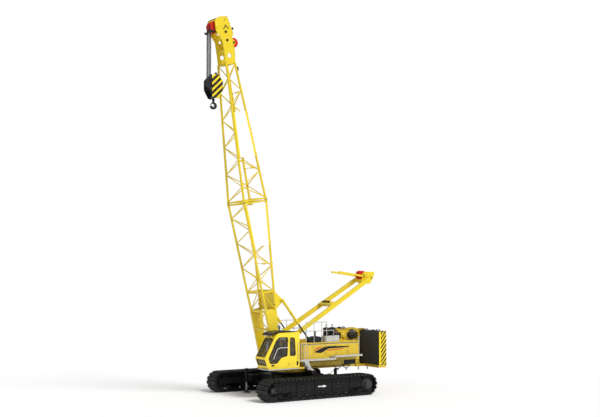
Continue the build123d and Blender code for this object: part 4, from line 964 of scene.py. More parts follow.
def jack_column(form, end):
    """Collars, cap and hose of a jack's tube, on the left."""
    x = end * JACK_X
    for z in (0.64, 1.02, 1.33):
        form.collar(circle((x, JACK_Y), 0.112), circle((x, JACK_Y), 0.09), z, z + 0.05, "z")
    form.turned([(0, 0.085), (0.02, 0.085), (0.03, 0.05), (0.05, 0.045)], (x, JACK_Y, 1.4), UP)
    hose = [(x, JACK_Y - 0.09, 1.3), (x, JACK_Y - 0.2, 1.32), (x - end * 0.1, JACK_Y - 0.34, 1.14)]
    form.pipe(bent([*hose, (end * 1.5, 1.1, 1.0)], 0.08), 0.012, 6, 3)


def valve_box(form):
    """The valve box's bolted lid, and its hoses."""
    for hose in range(4):
        x, drop = -0.48 + 0.08 * hose, 0.03 * hose
        run = [(x, 1.5, 1.3 - drop), (x, 1.3, 1.32 - drop), (x + 0.06, 1.16, 1.22), (x + 0.06, 1.1, 1.15)]
        form.pipe(bent(run, 0.06), 0.014, 6, 3)
    lid = VALVE_FACE + 0.012
    form.slab(panel((-0.49, -0.22), (1.06, 1.36), 0.03), VALVE_FACE, lid, "y", 0.004)
    form.bolts([(x, lid, z) for x in (-0.47, -0.24) for z in (1.08, 1.34)], LEFT, 0.012, 1)


def jack_foot(x, y):
    """A jack's bolted foot."""
    form = Form()
    form.turned([(0, 0.125), (0.03, 0.115), (0.07, 0.085), (0.12, 0.075)], (x, y, 0.07), UP, 28)
    form.bolts(round_places((x, y, 0.07), 0.17, 8, "z"), UP, 0.014, 1)
    return form


class CRANE_OT_carbody_fittings(bpy.types.Operator):
    """Ring bolts, beam flanges, eyes, hoses, jack collars and feet"""

    bl_idname = "crane.carbody_fittings"
    bl_label = "Carbody fittings"

    def execute(self, context):
        form = Form()
        for end in (1, -1):
            body_corner(form, end)
            jack_column(form, end)
        form.mirror()
        slew_ring_bolts(form)
        valve_box(form)
        looks = ["chassis_paint", "bright_steel", "engine_iron", "rubber"]
        piece("carbody_fittings", form, looks, "undercarriage", "chassis_paint")
        for end_name, end in (("front", 1), ("rear", -1)):
            for name, side in SIDES:
                piece(f"jack_foot_{end_name}_{name}", jack_foot(end * JACK_X, side * JACK_Y),
                      ["engine_iron", "bright_steel"], f"jack_{end_name}_{name}", "bright_steel")
        return {"FINISHED"}


# Hoods and walkways

HOOD_FACE = 1.5
HOOD_FRONT = 0.32
HOOD_DOORS = 5
SWOOSH = [
    (-0.60, 2.44), (-0.80, 2.40), (-1.06, 2.375), (-1.24, 2.42), (-1.38, 2.50), (-1.66, 2.605), (-3.08, 2.64),
    (-3.12, 2.695), (-2.4, 2.735), (-1.74, 2.755), (-1.38, 2.73), (-1.14, 2.66), (-0.86, 2.55),
]
FLASHES = [
    [(-0.52, 2.49), (-0.74, 2.56), (-1.0, 2.655), (-1.22, 2.735), (-1.06, 2.745), (-0.76, 2.67)],
    [(-1.44, 2.465), (-1.70, 2.55), (-2.78, 2.60), (-2.66, 2.545), (-1.76, 2.49)],
]


def hood_door(form, start, end, low_z):
    """One door leaf with its two latches and hinges."""
    leaf = HOOD_FACE + 0.01
    form.slab(panel((start + 0.008, end - 0.008), (low_z, 2.84), 0.03), HOOD_FACE, leaf, "y", 0.004)
    x = end - 0.1
    for z in (2.36, 2.74):
        form.slab(panel(around(x, 0.035), around(z, 0.05), 0.02), leaf, leaf + 0.005, "y", 0.002)
        form.box(around(x, 0.012), (leaf + 0.005, leaf + 0.02), (z - 0.035, z + 0.02), 0.004, 2)
        hinge = [(start + 0.006, leaf + 0.006, z + v) for v in (-0.05, 0.05)]
        form.pipe(hinge, 0.01, 8, 2)


def hood_doors(form, rear_x, louvred):
    """The row of doors, the last ones with louvres where the hood has them."""
    width = (HOOD_FRONT - rear_x - 0.1) / HOOD_DOORS
    for door in range(HOOD_DOORS):
        start = rear_x + 0.05 + door * width
        hood_door(form, start, start + width, 2.22 if door < 3 else 2.1)
        if louvred and door in (0, HOOD_DOORS - 1):
            for slat in range(9):
                z = 2.38 + slat * 0.045
                form.box((start + 0.16, start + width - 0.2), (HOOD_FACE + 0.01, HOOD_FACE + 0.028),
                         (z, z + 0.02), 0.006)


def hood_stripes(form, rear_x):
    """A black and a grey line along the hood's top, and a plain swoosh with two red flashes."""
    run = (rear_x + 0.05, HOOD_FRONT - 0.03)
    form.box(run, (HOOD_FACE, HOOD_FACE + 0.008), (2.893, 2.925), 0.002, 1)
    form.box(run, (HOOD_FACE, HOOD_FACE + 0.006), (2.862, 2.884), 0.002, 3)
    band = HOOD_FACE + 0.0105
    form.slab(SWOOSH, band, band + 0.003, "y", 0.0, 1)
    for flash in FLASHES:
        form.slab(flash, band, band + 0.003, "y", 0.0, 4)


def hood_ends(form, rear_x):
    """The rear edge's strips, and the front's framed louvres."""
    form.box((rear_x - 0.03, rear_x + 0.01), (HOOD_FACE - 0.06, HOOD_FACE), (2.2, 3.27), 0.004, 3)
    form.box((rear_x - 0.02, rear_x), (1.08, HOOD_FACE - 0.06), (2.05, 2.9), 0.004)
    for slat in range(16):
        z = 2.12 + slat * 0.048
        form.box((HOOD_FRONT, HOOD_FRONT + 0.02), (1.12, 1.44), (z, z + 0.022), 0.005, 1)
    form.collar(panel((1.09, 1.47), (2.08, 2.92), 0.03), panel((1.12, 1.44), (2.11, 2.89), 0.02),
                HOOD_FRONT, HOOD_FRONT + 0.025, "x")


def hood_top(form, rear_x, top_z):
    """A bolted lid and two lifting eyes."""
    lid_z = top_z + 0.014
    form.slab(panel((rear_x + 0.1, rear_x + 1.2), (1.1, 1.45), 0.04), top_z, lid_z, "z", 0.004)
    form.bolts([(rear_x + x, y, lid_z) for x in (0.15, 0.65, 1.15) for y in (1.14, 1.41)], UP, 0.011, 2)
    eye = rounded([(-0.05, 0.0), (0.05, 0.0), (0.03, 0.09), (-0.03, 0.09)], 0.02)
    for x in (rear_x + 0.06, HOOD_FRONT - 0.07):
        form.slab(eye, -0.01, 0.01, "y", 0.003, 1, Matrix.Translation((x, 1.28, top_z)))


def deck_boxes(form):
    """Three boxes with lids under the deck, the rear one black."""
    for rear, front, look in ((-1.22, 0.02, 0), (-2.62, -1.38, 0), (-3.62, -2.78, 1)):
        form.box((rear, front), (1.0, 1.47), (1.63, 1.89), 0.02, look)
        form.slab(panel((rear + 0.06, front - 0.06), (1.67, 1.86), 0.02), 1.47, 1.48, "y", 0.004, look)
        form.bolts([(rear + 0.1, 1.48, 1.765), (front - 0.1, 1.48, 1.765)], LEFT, 0.014, 2)


def underslung(form):
    """Looped hoses on brackets below the deck, and a motor by the slew ring."""
    y = 1.32
    for x in (-2.15, -2.75):
        loop = [(x, y, 1.64), (x - 0.06, y, 1.5), (x - 0.3, y, 1.36), (x - 0.5, y, 1.5), (x - 0.56, y, 1.64)]
        form.pipe(bent(loop, 0.12), 0.02, 8)
        form.pipe([(x - 0.29, y, 1.4), (x - 0.31, y, 1.27)], 0.018, 8)
        form.box((x - 0.33, x - 0.25), around(y, 0.03), (1.34, 1.44), 0.01, 1)
    form.box((-0.62, -0.22), (1.1, 1.4), (1.3, 1.6), 0.03)
    form.bolts([(x, 1.4, z) for x in (-0.55, -0.29) for z in (1.36, 1.54)], LEFT, 0.014, 1)


class CRANE_OT_hoods(bpy.types.Operator):
    """Doors, latches, louvres, stripes and trim on the side hoods, and what hangs under them"""

    bl_idname = "crane.hoods"
    bl_label = "Hood panels"

    def execute(self, context):
        for name, side in SIDES:
            low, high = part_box(f"side_hood_{name}")
            form = Form()
            hood_doors(form, low.x, louvred=name == "right")
            hood_stripes(form, low.x)
            hood_ends(form, low.x)
            hood_top(form, low.x, high.z)
            deck_boxes(form)
            form.flip(side)
            looks = ["body_paint", "black_paint", "bright_steel", "grey_paint", "red_mark"]
            piece(f"hood_panels_{name}", form, looks, "superstructure", "body_paint")
            form = Form()
            underslung(form)
            form.flip(side)
            piece(f"underslung_{name}", form, ["rubber", "bright_steel"], "superstructure", "black_paint")
        return {"FINISHED"}


FRONT_DECK_Z = 2.06
REAR_DECK_Z = 2.19
WALK = (1.53, 2.02)
RAIL_Y = 1.47


def deck_sheets(form, rear_x, front_x, z):
    """Three bolted tread plates along a walkway, and its toe board."""
    run = (front_x - rear_x) / 3
    for index in range(3):
        x = rear_x + index * run
        form.slab(panel((x + 0.005, x + run - 0.005), WALK, 0.02, 2), z, z + 0.005, "z", 0.001)
        rows = (WALK[0] + 0.04, WALK[1] - 0.04)
        form.bolts([(x + u, y, z + 0.005) for u in (0.05, run - 0.05) for y in rows], UP, 0.009, 2)
    form.box((rear_x, front_x), (WALK[1] + 0.015, WALK[1] + 0.028), (z, z + 0.05), 0.002, 1)


def boarding_steps(form):
    """Tread plates on the steps, and the two grab rails over them."""
    for x, z in ((0.24, 1.8), (0.04, 1.64), (-0.16, 1.48)):
        form.slab(panel(around(x, 0.105), (1.73, 2.02), 0.01, 2), z + 0.012, z + 0.017, "z", 0.001)
    front, rear, foot, top = 0.33, 0.14, FRONT_DECK_Z, 2.94
    for y in (2.015, 1.575):
        rail = [(front, y, foot), (front, y, top), (rear, y, top), (rear, y, foot)]
        form.pipe(bent(rail, 0.06), 0.018, 10, 1)
        form.pipe([(front, y, 2.5), (rear, y, 2.5)], 0.014, 8, 1)
        for x in (front, rear):
            form.turned([(0, 0.035), (0.012, 0.035), (0.02, 0.025)], (x, y, foot + 0.005), UP, 16, 1)


def rail_feet(form):
    """Bolted feet, sleeves and caps on the posts of the left handrail."""
    for x, top in ((-0.1, 4.17), (-0.64, 4.17), (-1.18, 4.17), (-1.53, 4.17), (-2.03, 3.68)):
        foot = (x, RAIL_Y, 2.99)
        form.turned([(0, 0.05), (0.01, 0.05), (0.016, 0.03), (0.05, 0.026)], foot, UP, 16)
        form.bolts(round_places((x, RAIL_Y, 3.0), 0.038, 3, "z"), UP, 0.007, 1)
        form.turned([(0, 0.022), (0.008, 0.012)], (x, RAIL_Y, top), UP, 12)
        for z in (3.66, 4.16):
            if z < top:
                form.turned([(-0.03, 0.025), (0.03, 0.025)], (x, RAIL_Y, z), UP, 12)


class CRANE_OT_walkways(bpy.types.Operator):
    """Tread plates, toe boards, steps and the rails' feet"""

    bl_idname = "crane.walkways"
    bl_label = "Walkways"

    def execute(self, context):
        for name, side in SIDES:
            front_x = 0.7 if name == "left" else HOOD_FRONT
            form = Form()
            deck_sheets(form, -1.73, front_x - 0.01, FRONT_DECK_Z)
            deck_sheets(form, -3.69, -1.81, REAR_DECK_Z)
            if name == "left":
                boarding_steps(form)
            form.flip(side)
            looks = ["tread_plate", "grey_paint", "bright_steel"]
            piece(f"walkway_plates_{name}", form, looks, "superstructure", "grey_paint")
        form = Form()
        rail_feet(form)
        form.mirror()
        piece("rail_feet", form, ["grey_paint", "bright_steel"], "superstructure", "grey_paint")
        return {"FINISHED"}


# Deck equipment

# front end of the silencer's middle line
SILENCER = (-0.37, 1.24, 3.19)
SILENCER_RADIUS = 0.125
STACK_X = -0.86
CLEANER_TOP = 3.345
CLEANER_Y = 1.27
CLEANERS_X = (-1.64, -2.06)
CLEANER_DOORS_X = (-2.3, -1.97, -1.64)
FILLER_X = -2.33


def silencer_fittings(form):
    """Domed ends, bands, shroud and feet of the silencer."""
    x, y, _ = SILENCER
    radius = SILENCER_RADIUS
    form.turned([(-0.03, 0.06), (-0.02, 0.1), (0.0, radius), (0.02, radius)], SILENCER, BACK, 28)
    form.turned([(0.82, radius), (0.86, 0.115), (0.95, 0.06), (1.0, 0.05)], SILENCER, BACK, 28)
    shroud = [(-0.30, 2.995), (-0.40, 3.20), (-0.62, 3.335), (-1.02, 3.335), (-1.18, 3.20), (-1.28, 2.995)]
    for plate_y in around(y, radius + 0.01):
        form.slab(rounded(shroud, 0.05), *around(plate_y, 0.005), "y", 0.002)
    form.slab(panel((-1.0, -0.64), around(y, 0.13), 0.02), 3.325, 3.34, "z", 0.004)
    for along in (0.12, 0.4, 0.68):
        form.turned([(along, radius + 0.003), (along + 0.035, radius + 0.003)], SILENCER, BACK, 28, 1)
    for foot_x in (x - 0.16, x - 0.66):
        form.box(around(foot_x, 0.05), around(y, 0.1), (2.992, 3.01), 0.004, 1)
        form.bolts([(foot_x, y - 0.07, 3.01), (foot_x, y + 0.07, 3.01)], UP, 0.011, 2)


def stack_fittings(form):
    """Collar, rim and open rain flap of the exhaust stack."""
    x, y = STACK_X, SILENCER[1]
    sleeve = [(0, 0.075), (0.03, 0.06), (0.04, 0.052), (0.28, 0.052), (0.29, 0.05)]
    form.turned(sleeve, (x, y, 3.3), UP, 20)
    form.turned([(0.31, 0.056), (0.325, 0.056)], (x, y, 3.3), UP, 20, 1)
    flap = Matrix.Translation((x, y, 3.63)) @ Matrix.Rotation(radians(-18), 4, "Y")
    form.slab(circle((0, 0), 0.062, 20), 0.0, 0.008, "z", 0.002, 1, flap)


def cleaner_box(form):
    """The eased box under the air cleaners, with three bolted doors."""
    low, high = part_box("air_cleaners")
    door = high.y + 0.006
    form.box((low.x - 0.006, high.x + 0.006), (low.y - 0.006, door), (low.z + 0.002, CLEANER_TOP), 0.012)
    for x in CLEANER_DOORS_X:
        form.slab(panel(around(x, 0.14), (3.03, 3.31), 0.02), door, door + 0.006, "y", 0.002)
        form.bolts([(x, door + 0.006, z) for z in (3.29, 3.05)], LEFT, 0.01, 2)


def air_cleaner(form, x):
    """Ribs, hood and spindle of one air cleaner, and its inlet hose."""
    foot = (x, CLEANER_Y, CLEANER_TOP)
    for z in (0.05, 0.14, 0.23, 0.32):
        form.turned([(z, 0.182), (z + 0.012, 0.19), (z + 0.024, 0.182)], foot, UP, 32, 1)
    form.turned([(0.36, 0.2), (0.375, 0.21), (0.42, 0.205), (0.47, 0.15), (0.49, 0.07)], foot, UP, 32, 1)
    form.turned([(0.48, 0.03), (0.62, 0.03), (0.64, 0.045), (0.66, 0.045), (0.67, 0.02)], foot, UP, 14, 2)
    form.pipe(bent([(x, 1.1, 3.5), (x, 1.02, 3.5), (x, 1.02, 3.1), (x, 1.06, 2.9)], 0.08), 0.05, 12, 3)


class CRANE_OT_deck(bpy.types.Operator):
    """Bands, domes and covers of the silencer and the air cleaners"""

    bl_idname = "crane.deck"
    bl_label = "Deck equipment"

    def execute(self, context):
        form = Form()
        silencer_fittings(form)
        stack_fittings(form)
        piece("silencer_fittings", form, ["black_paint", "engine_iron", "bright_steel"], "superstructure",
              "black_paint")
        form = Form()
        cleaner_box(form)
        for x in CLEANERS_X:
            air_cleaner(form, x)
        filler = (FILLER_X, CLEANER_Y, CLEANER_TOP)
        form.turned([(0, 0.06), (0.12, 0.06), (0.14, 0.045)], filler, UP, 20, 1)
        form.turned([(0.14, 0.05), (0.2, 0.05), (0.22, 0.03)], filler, UP, 20, 4)
        looks = ["grey_paint", "black_paint", "bright_steel", "rubber", "red_mark"]
        piece("air_cleaner_fittings", form, looks, "superstructure", "grey_paint")
        return {"FINISHED"}


# Cab

CAB_INNER, CAB_OUTER = 1.06, 2.10
CAB_MIDDLE = (CAB_INNER + CAB_OUTER) / 2
CAB_REAR = 0.79
CAB_ROOF = 3.72
CAB_SILL = 1.61
ROOF_LAMPS = (-0.36, -0.12, 0.12, 0.36)
# side view of the cab's front: foot, nose and brow of the glass, as X and Z
CAB_FOOT = (2.85, 1.69)
CAB_NOSE = (3.09, 2.28)
CAB_BROW = (2.285, 3.67)
# corners of the side windows, each with its radius
DOOR_WINDOW = (
    ((1.62, 2.39), 0.06), ((1.99, 2.33), 0.12), ((2.31, 2.01), 0.12), ((2.72, 2.01), 0.09),
    ((2.81, 2.29), 0.07), ((2.33, 3.23), 0.15), ((2.15, 3.40), 0.15), ((1.59, 3.40), 0.06),
)
REAR_WINDOW = (((1.06, 2.39), 0.09), ((1.40, 2.39), 0.04), ((1.40, 3.37), 0.04), ((1.13, 3.37), 0.13))
# corners of the visor over the roof: over it from the front, then back under it
VISOR = (
    ((2.68, 3.56), 0.01), ((2.54, 3.67), 0.3), ((2.3, 3.74), 0.4), ((1.9, 3.775), 0.6), ((1.3, 3.76), 0.02),
    ((1.3, 3.70), 0.02), ((1.95, 3.72), 0.6), ((2.27, 3.69), 0.4), ((2.48, 3.63), 0.3), ((2.65, 3.53), 0.01),
)


def cornered(corners, steps=4):
    """An outline from corners that each come with a radius."""
    return rounded([point for point, radius in corners], [radius for point, radius in corners], steps)


def cab_front_place(low, high, share):
    """A place on the cab's front between two points of its side view: X up the glass, Z out of it."""
    run = Vector((high[0] - low[0], 0.0, high[1] - low[1]))
    out = Vector((run.z, 0.0, -run.x)).normalized()
    origin = Vector((low[0], CAB_MIDDLE, low[1])) + run * share
    axes = Matrix((run.normalized(), Vector(LEFT), out)).transposed().to_4x4()
    return Matrix.Translation(origin) @ axes


def cab_seals(form, screen):
    """Rubber seals of the rear side window, the inner, front and back windows."""
    form.seal(cornered(REAR_WINDOW, 6), 0.03, CAB_OUTER - 0.012, CAB_OUTER + 0.006)
    inner = rounded([(1.0, 2.3), (2.7, 2.3), (2.33, 3.2), (1.0, 3.35)], 0.02)
    form.seal(inner, 0.03, CAB_INNER - 0.006, CAB_INNER + 0.012)
    lower = cab_front_place(CAB_FOOT, CAB_NOSE, 0.6)
    for place, half_height in ((screen, 0.54), (lower, 0.15)):
        pane = panel(around(0, half_height), around(0, 0.43), 0.05)
        form.seal(pane, 0.035, -0.014, 0.008, "z", place)
    form.seal(panel(around(CAB_MIDDLE, 0.38), (2.47, 3.33), 0.05), 0.03, CAB_REAR - 0.018, CAB_REAR, "x")


def lamp(form, centre, size):
    """A round work lamp that looks forward and down."""
    ahead = Vector((0.94, 0.0, -0.34))
    shell = [(-0.8, 0.35), (-0.7, 0.6), (0.0, 1.0), (0.3, 1.0)]
    glass = [(0.3, 0.9), (0.38, 0.8), (0.42, 0.5)]
    for profile, look in ((shell, 1), (glass, 4)):
        form.turned([(along * size, radius * size) for along, radius in profile], centre, ahead, 20, look)


def cab_roof(form):
    """The roof's cover, the visor that curves down over the glass, and the lamps."""
    cover = panel((0.9, 2.08), (CAB_INNER + 0.08, CAB_OUTER - 0.06), 0.08)
    form.slab(cover, CAB_ROOF - 0.032, CAB_ROOF, "z", 0.008, 1)
    form.slab(cornered(VISOR), CAB_INNER + 0.03, CAB_OUTER - 0.03, "y", 0.008, 1)
    for across in ROOF_LAMPS:
        y = CAB_MIDDLE + across
        lamp(form, (2.55, y, 3.54), 0.06)
        form.pipe([(2.52, y, 3.53), (2.46, y, 3.66)], 0.012, 6, 1)
    beacon_y = 1.6
    lamp(form, (1.86, beacon_y, CAB_ROOF + 0.25), 0.11)
    form.pipe([(1.8, beacon_y, CAB_ROOF + 0.02), (1.8, beacon_y, CAB_ROOF + 0.22)], 0.02, 8, 1)


def wiper(form, screen):
    """The windscreen's wiper: motor, arm and blade."""
    arm = [(-0.5, -0.1, 0.02), (-0.3, -0.14, 0.05), (0.1, -0.02, 0.03)]
    form.pipe(bent([screen @ Vector(point) for point in arm], 0.2), 0.01, 6, 1)
    form.box((-0.1, 0.42), (-0.03, -0.01), (0.008, 0.03), 0.004, 0, screen)
    out = screen.to_3x3() @ Vector(UP)
    form.turned([(0, 0.035), (0.03, 0.03)], screen @ Vector((-0.5, -0.1, 0.0)), out, 14, 1)


def cab_sills(form):
    """Grey sills under the cab, the grab rail behind the rear window and a step plate."""
    side_end = 2.84
    form.box((0.8, side_end), around(CAB_OUTER, 0.012), (CAB_SILL - 0.005, CAB_SILL + 0.062), 0.004, 2)
    front_y = (CAB_INNER + 0.05, CAB_OUTER - 0.02)
    form.box((side_end, side_end + 0.026), front_y, (CAB_SILL, CAB_SILL + 0.07), 0.004, 2)
    form.bolts([(x, CAB_OUTER, CAB_SILL + 0.11) for x in (0.86, 1.2)], LEFT, 0.011, 3)
    x, rail_y = 0.9, CAB_OUTER + 0.06
    rail = [(x, CAB_OUTER, 2.2), (x, rail_y, 2.2), (x, rail_y, 3.1), (x, CAB_OUTER, 3.1)]
    form.pipe(bent(rail, 0.04), 0.016, 8, 2)
    form.slab(panel((0.86, 0.98), (1.82, 2.06), 0.02), CAB_OUTER, CAB_OUTER + 0.006, "y", 0.002, 0)


def door_fittings():
    """The door's window seal, long grab rail and handle."""
    form = Form()
    form.seal(cornered(DOOR_WINDOW, 6), 0.032, CAB_OUTER - 0.012, CAB_OUTER + 0.006)
    rail_y = CAB_OUTER + 0.05
    rail = [(2.54, CAB_OUTER, 2.22), (2.54, rail_y, 2.25), (2.28, rail_y, 2.80), (2.05, rail_y, 2.85)]
    form.pipe(bent([*rail, (1.56, rail_y, 2.84), (1.56, CAB_OUTER, 2.84)], 0.07), 0.017, 10, 1)
    form.slab(panel((2.46, 2.66), (1.84, 1.93), 0.03), CAB_OUTER, CAB_OUTER + 0.006, "y", 0.002, 0)
    z, grip_y = 1.885, CAB_OUTER + 0.035
    grip = [(2.48, CAB_OUTER, z), (2.48, grip_y, z), (2.62, grip_y, z), (2.62, CAB_OUTER, z)]
    form.pipe(bent(grip, 0.02), 0.01, 8, 2)
    return form


def cab_interior():
    """Consoles with levers, a screen on its post, pedals and the seat's headrest."""
    form = Form()
    lever = [(0, 0.04), (0.03, 0.03), (0.05, 0.014), (0.2, 0.012), (0.21, 0.03), (0.27, 0.028), (0.29, 0.014)]
    for y in around(CAB_MIDDLE, 0.34):
        form.box((1.62, 1.98), around(y, 0.07), (2.33, 2.37), 0.02, 0)
        form.turned(lever, (1.86, y, 2.37), (0.12, 0, 1), 14, 0)
    screen_y = CAB_MIDDLE + 0.28
    form.box((2.5, 2.62), around(screen_y, 0.14), (2.5, 2.72), 0.02, 0)
    form.box((2.494, 2.5), around(screen_y, 0.12), (2.52, 2.7), 0.002, 3)
    form.pipe([(2.56, screen_y, 2.5), (2.6, screen_y, 1.8)], 0.025, 10, 0)
    for y in around(CAB_MIDDLE, 0.12):
        form.box((2.62, 2.72), around(y, 0.05), (1.82, 1.9), 0.015, 0)
    form.box((1.0, 1.12), around(CAB_MIDDLE, 0.15), (2.94, 3.12), 0.04, 1)
    form.pipe([(1.06, CAB_MIDDLE, 2.85), (1.06, CAB_MIDDLE, 2.96)], 0.02, 8, 2)
    return form


class CRANE_OT_cab(bpy.types.Operator):
    """Window seals, visor, lamps, wiper, rails and sills of the cab, and its inside"""

    bl_idname = "crane.cab"
    bl_label = "Cab fittings"

    def execute(self, context):
        form = Form()
        screen = cab_front_place(CAB_NOSE, CAB_BROW, 0.42)
        cab_seals(form, screen)
        cab_roof(form)
        wiper(form, screen)
        cab_sills(form)
        looks = ["rubber", "black_paint", "grey_paint", "bright_steel", "lamp_lens"]
        piece("cab_fittings", form, looks, "superstructure", "black_paint")
        looks = ["rubber", "white_mark", "bright_steel"]
        piece("cab_door_fittings", door_fittings(), looks, "cab_door", "black_paint")
        looks = ["rubber", "seat_fabric", "bright_steel", "lamp_lens"]
        piece("cab_interior_fittings", cab_interior(), looks, "superstructure", "seat_fabric")
        return {"FINISHED"}


# Winches

# axle X and Z, drum radius, depth of rope on it, half width between the flanges, flange radius
DRUMS = {
    "main": (-0.9, 1.965, 0.23, 0.06, 0.54, 0.37),
    "second": (-3.45, 3.23, 0.205, 0.05, 0.40, 0.32),
    "luffing": (-4.72, 3.23, 0.205, 0.05, 0.40, 0.32),
}


RAISED_FACE = 0.485
MAIN_FACE = 0.715


def wound_rope(form, name, turns):
    """Rope turns side by side round a drum."""
    x, z, core, depth, half, flange = DRUMS[name]
    pitch = 2 * half / turns
    top = core + depth
    turn_shape = ((0.0, 0.3), (0.2, 0.075), (0.5, 0.0), (0.8, 0.075))
    profile = []
    for turn in range(turns):
        start = -half + turn * pitch
        profile += [(start + share * pitch, top - dip * pitch) for share, dip in turn_shape]
    profile.append((half - 0.001, top - 0.3 * pitch))
    form.turned(profile, (x, 0, z), LEFT, 40)
    for out, axis in ((half + 0.04, LEFT), (-half - 0.04, RIGHT)):
        form.bolts(round_places((x, out, z), flange - 0.06, 10), axis, 0.014, 1)


def winch_cheek(form, x, z):
    """A raised winch's cheek: a rim round its I-shaped plate, and the bolted bearing."""
    front = [((0.40, -0.33), 0.04), ((0.21, -0.13), 0.06), ((0.21, 0.20), 0.05), ((0.40, 0.24), 0.02),
             ((0.35, 0.38), 0.09), ((0.17, 0.42), 0.20)]
    corners = [((x + u, z + v), radius) for (u, v), radius in front]
    corners += [((x - u, z + v), radius) for (u, v), radius in reversed(front)]
    outline = cornered(corners, 5)
    form.collar(inset(outline, -0.003), inset(outline, 0.03), RAISED_FACE - 0.05, RAISED_FACE + 0.045)
    bearing = [(0, 0.15), (0.03, 0.15), (0.04, 0.13), (0.07, 0.12), (0.08, 0.07)]
    form.turned(bearing, (x, RAISED_FACE, z), LEFT, 30)
    form.bolts(round_places((x, RAISED_FACE + 0.03, z), 0.14, 8), LEFT, 0.012, 1)
    form.bolts([(x + u, RAISED_FACE, z - 0.25) for u in (-0.27, 0.27)], LEFT, 0.018, 1)


class CRANE_OT_winches(bpy.types.Operator):
    """Rope on the drums, and the cheeks' rims and bearings"""

    bl_idname = "crane.winches"
    bl_label = "Winches"

    def execute(self, context):
        for name in DRUMS:
            form = Form()
            wound_rope(form, name, context.scene.crane_sizes.drum_turns)
            piece(f"{name}_winch_rope", form, ["wire_rope", "bright_steel"], f"{name}_winch", "wire_rope")
        form = Form()
        for name in ("second", "luffing"):
            winch_cheek(form, *DRUMS[name][:2])
        x, z = DRUMS["main"][:2]
        bearing = [(0, 0.2), (0.03, 0.2), (0.045, 0.17), (0.09, 0.16), (0.1, 0.1)]
        form.turned(bearing, (x, MAIN_FACE, z), LEFT, 32)
        form.bolts(round_places((x, MAIN_FACE + 0.03, z), 0.18, 12), LEFT, 0.013, 1)
        form.mirror()
        piece("winch_bearings", form, ["body_paint", "bright_steel"], "superstructure", "body_paint")
        return {"FINISHED"}


# Counterweight

SLABS = 6
TRAY_BOLTS_Z = 1.485
LEGS_X = (-4.22, -4.9)
LEG_Y = 0.93
LEG_TOP = 1.225


def hazard_panel(form, low, high):
    """The striped panel on a side of the slabs."""
    outline = panel((low.x + 0.006, high.x - 0.006), (low.z + 0.02, high.z - 0.012), 0.02, 3)
    form.slab(outline, high.y, high.y + 0.006, "y", 0.001)


def slab_lugs(form, low, high):
    """Joint lines on the slabs' front, lifting grips on their top and plugs on their rear."""
    for y in (0.525, 2.395):
        form.box((high.x, high.x + 0.008), around(y, 0.01), (low.z + 0.02, high.z - 0.02), 0.002, 1)
    for grip_low, grip_high in ((0.56, 0.80), (1.57, 1.96)):
        for x in (high.x - 0.1, low.x + 0.12):
            form.box(around(x, 0.06), (grip_low, grip_high), (high.z, high.z + 0.02), 0.005, 1)
            start, end = grip_low + 0.05, grip_high - 0.05
            grip = [(x, start, high.z), (x, start, high.z + 0.07), (x, end, high.z + 0.07), (x, end, high.z)]
            form.pipe(bent(grip, 0.04), 0.018, 8, 1)
    for slab in range(SLABS):
        z = low.z + (slab + 0.5) * (high.z - low.z) / SLABS
        for y in (0.8, 2.1):
            form.turned([(0, 0.06), (0.012, 0.055), (0.014, 0.03)], (low.x, y, z), BACK, 18, 1)
    form.box((low.x - 0.004, low.x + 0.1), (0.52, 2.4), (high.z, high.z + 0.012), 0.003, 2)


def tray_bolts(form, low, high):
    """Bolt heads along the tray's rear, front and side."""
    for y in (0.7, 1.3, 1.9, 2.35):
        form.bolts([(low.x, y, TRAY_BOLTS_Z)], BACK, 0.022, 3)
        form.bolts([(high.x + 0.04, y, TRAY_BOLTS_Z)], (1, 0, 0), 0.022, 3)
    form.bolts([(x, high.y, TRAY_BOLTS_Z) for x in (-4.75, -4.92, -5.09)], LEFT, 0.02, 3)


class CRANE_OT_counterweight(bpy.types.Operator):
    """Hazard panels, lifting grips, joint lines and bolts of the counterweight, and its legs' ends"""

    bl_idname = "crane.counterweight"
    bl_label = "Counterweight"

    def execute(self, context):
        low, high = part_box("counterweight_slabs")
        form = Form()
        hazard_panel(form, low, high)
        slab_lugs(form, low, high)
        tray_bolts(form, low, high)
        form.mirror()
        looks = ["hazard_paint", "black_paint", "slab_paint", "bright_steel"]
        piece("counterweight_trim", form, looks, "superstructure", "slab_paint")
        for name, side in SIDES:
            form = Form()
            for x in LEGS_X:
                ring = (x, side * LEG_Y, LEG_TOP)
                form.turned([(0.0, 0.036), (0.006, 0.044), (0.03, 0.044), (0.035, 0.037)], ring, UP, 20)
                form.turned([(0.845, 0.02), (0.87, 0.02), (0.88, 0.012)], ring, UP, 12, 1)
            looks = ["engine_iron", "bright_steel"]
            piece(f"tray_leg_ends_{name}", form, looks, f"tray_legs_{name}", "grey_paint")
        return {"FINISHED"}


# Mast

MAST_PIN = Vector((0.85, 0, 3.06))
MAST_HEAD = Vector((-5.42, 0, 6.70))
# foot and tip of the short arm at the mast's head, on the left
ARM_FOOT = (-5.10, 0.39, 6.86)
ARM_TIP = (-3.27, 0.37, 7.04)


def mast_spot(share, out=0.0):
    """A place in the left leg's middle line at a share of its run, or so far outside it."""
    return MAST_PIN + (MAST_HEAD - MAST_PIN) * share + Vector((0, 0.8 - 0.2 * share + out, 0))


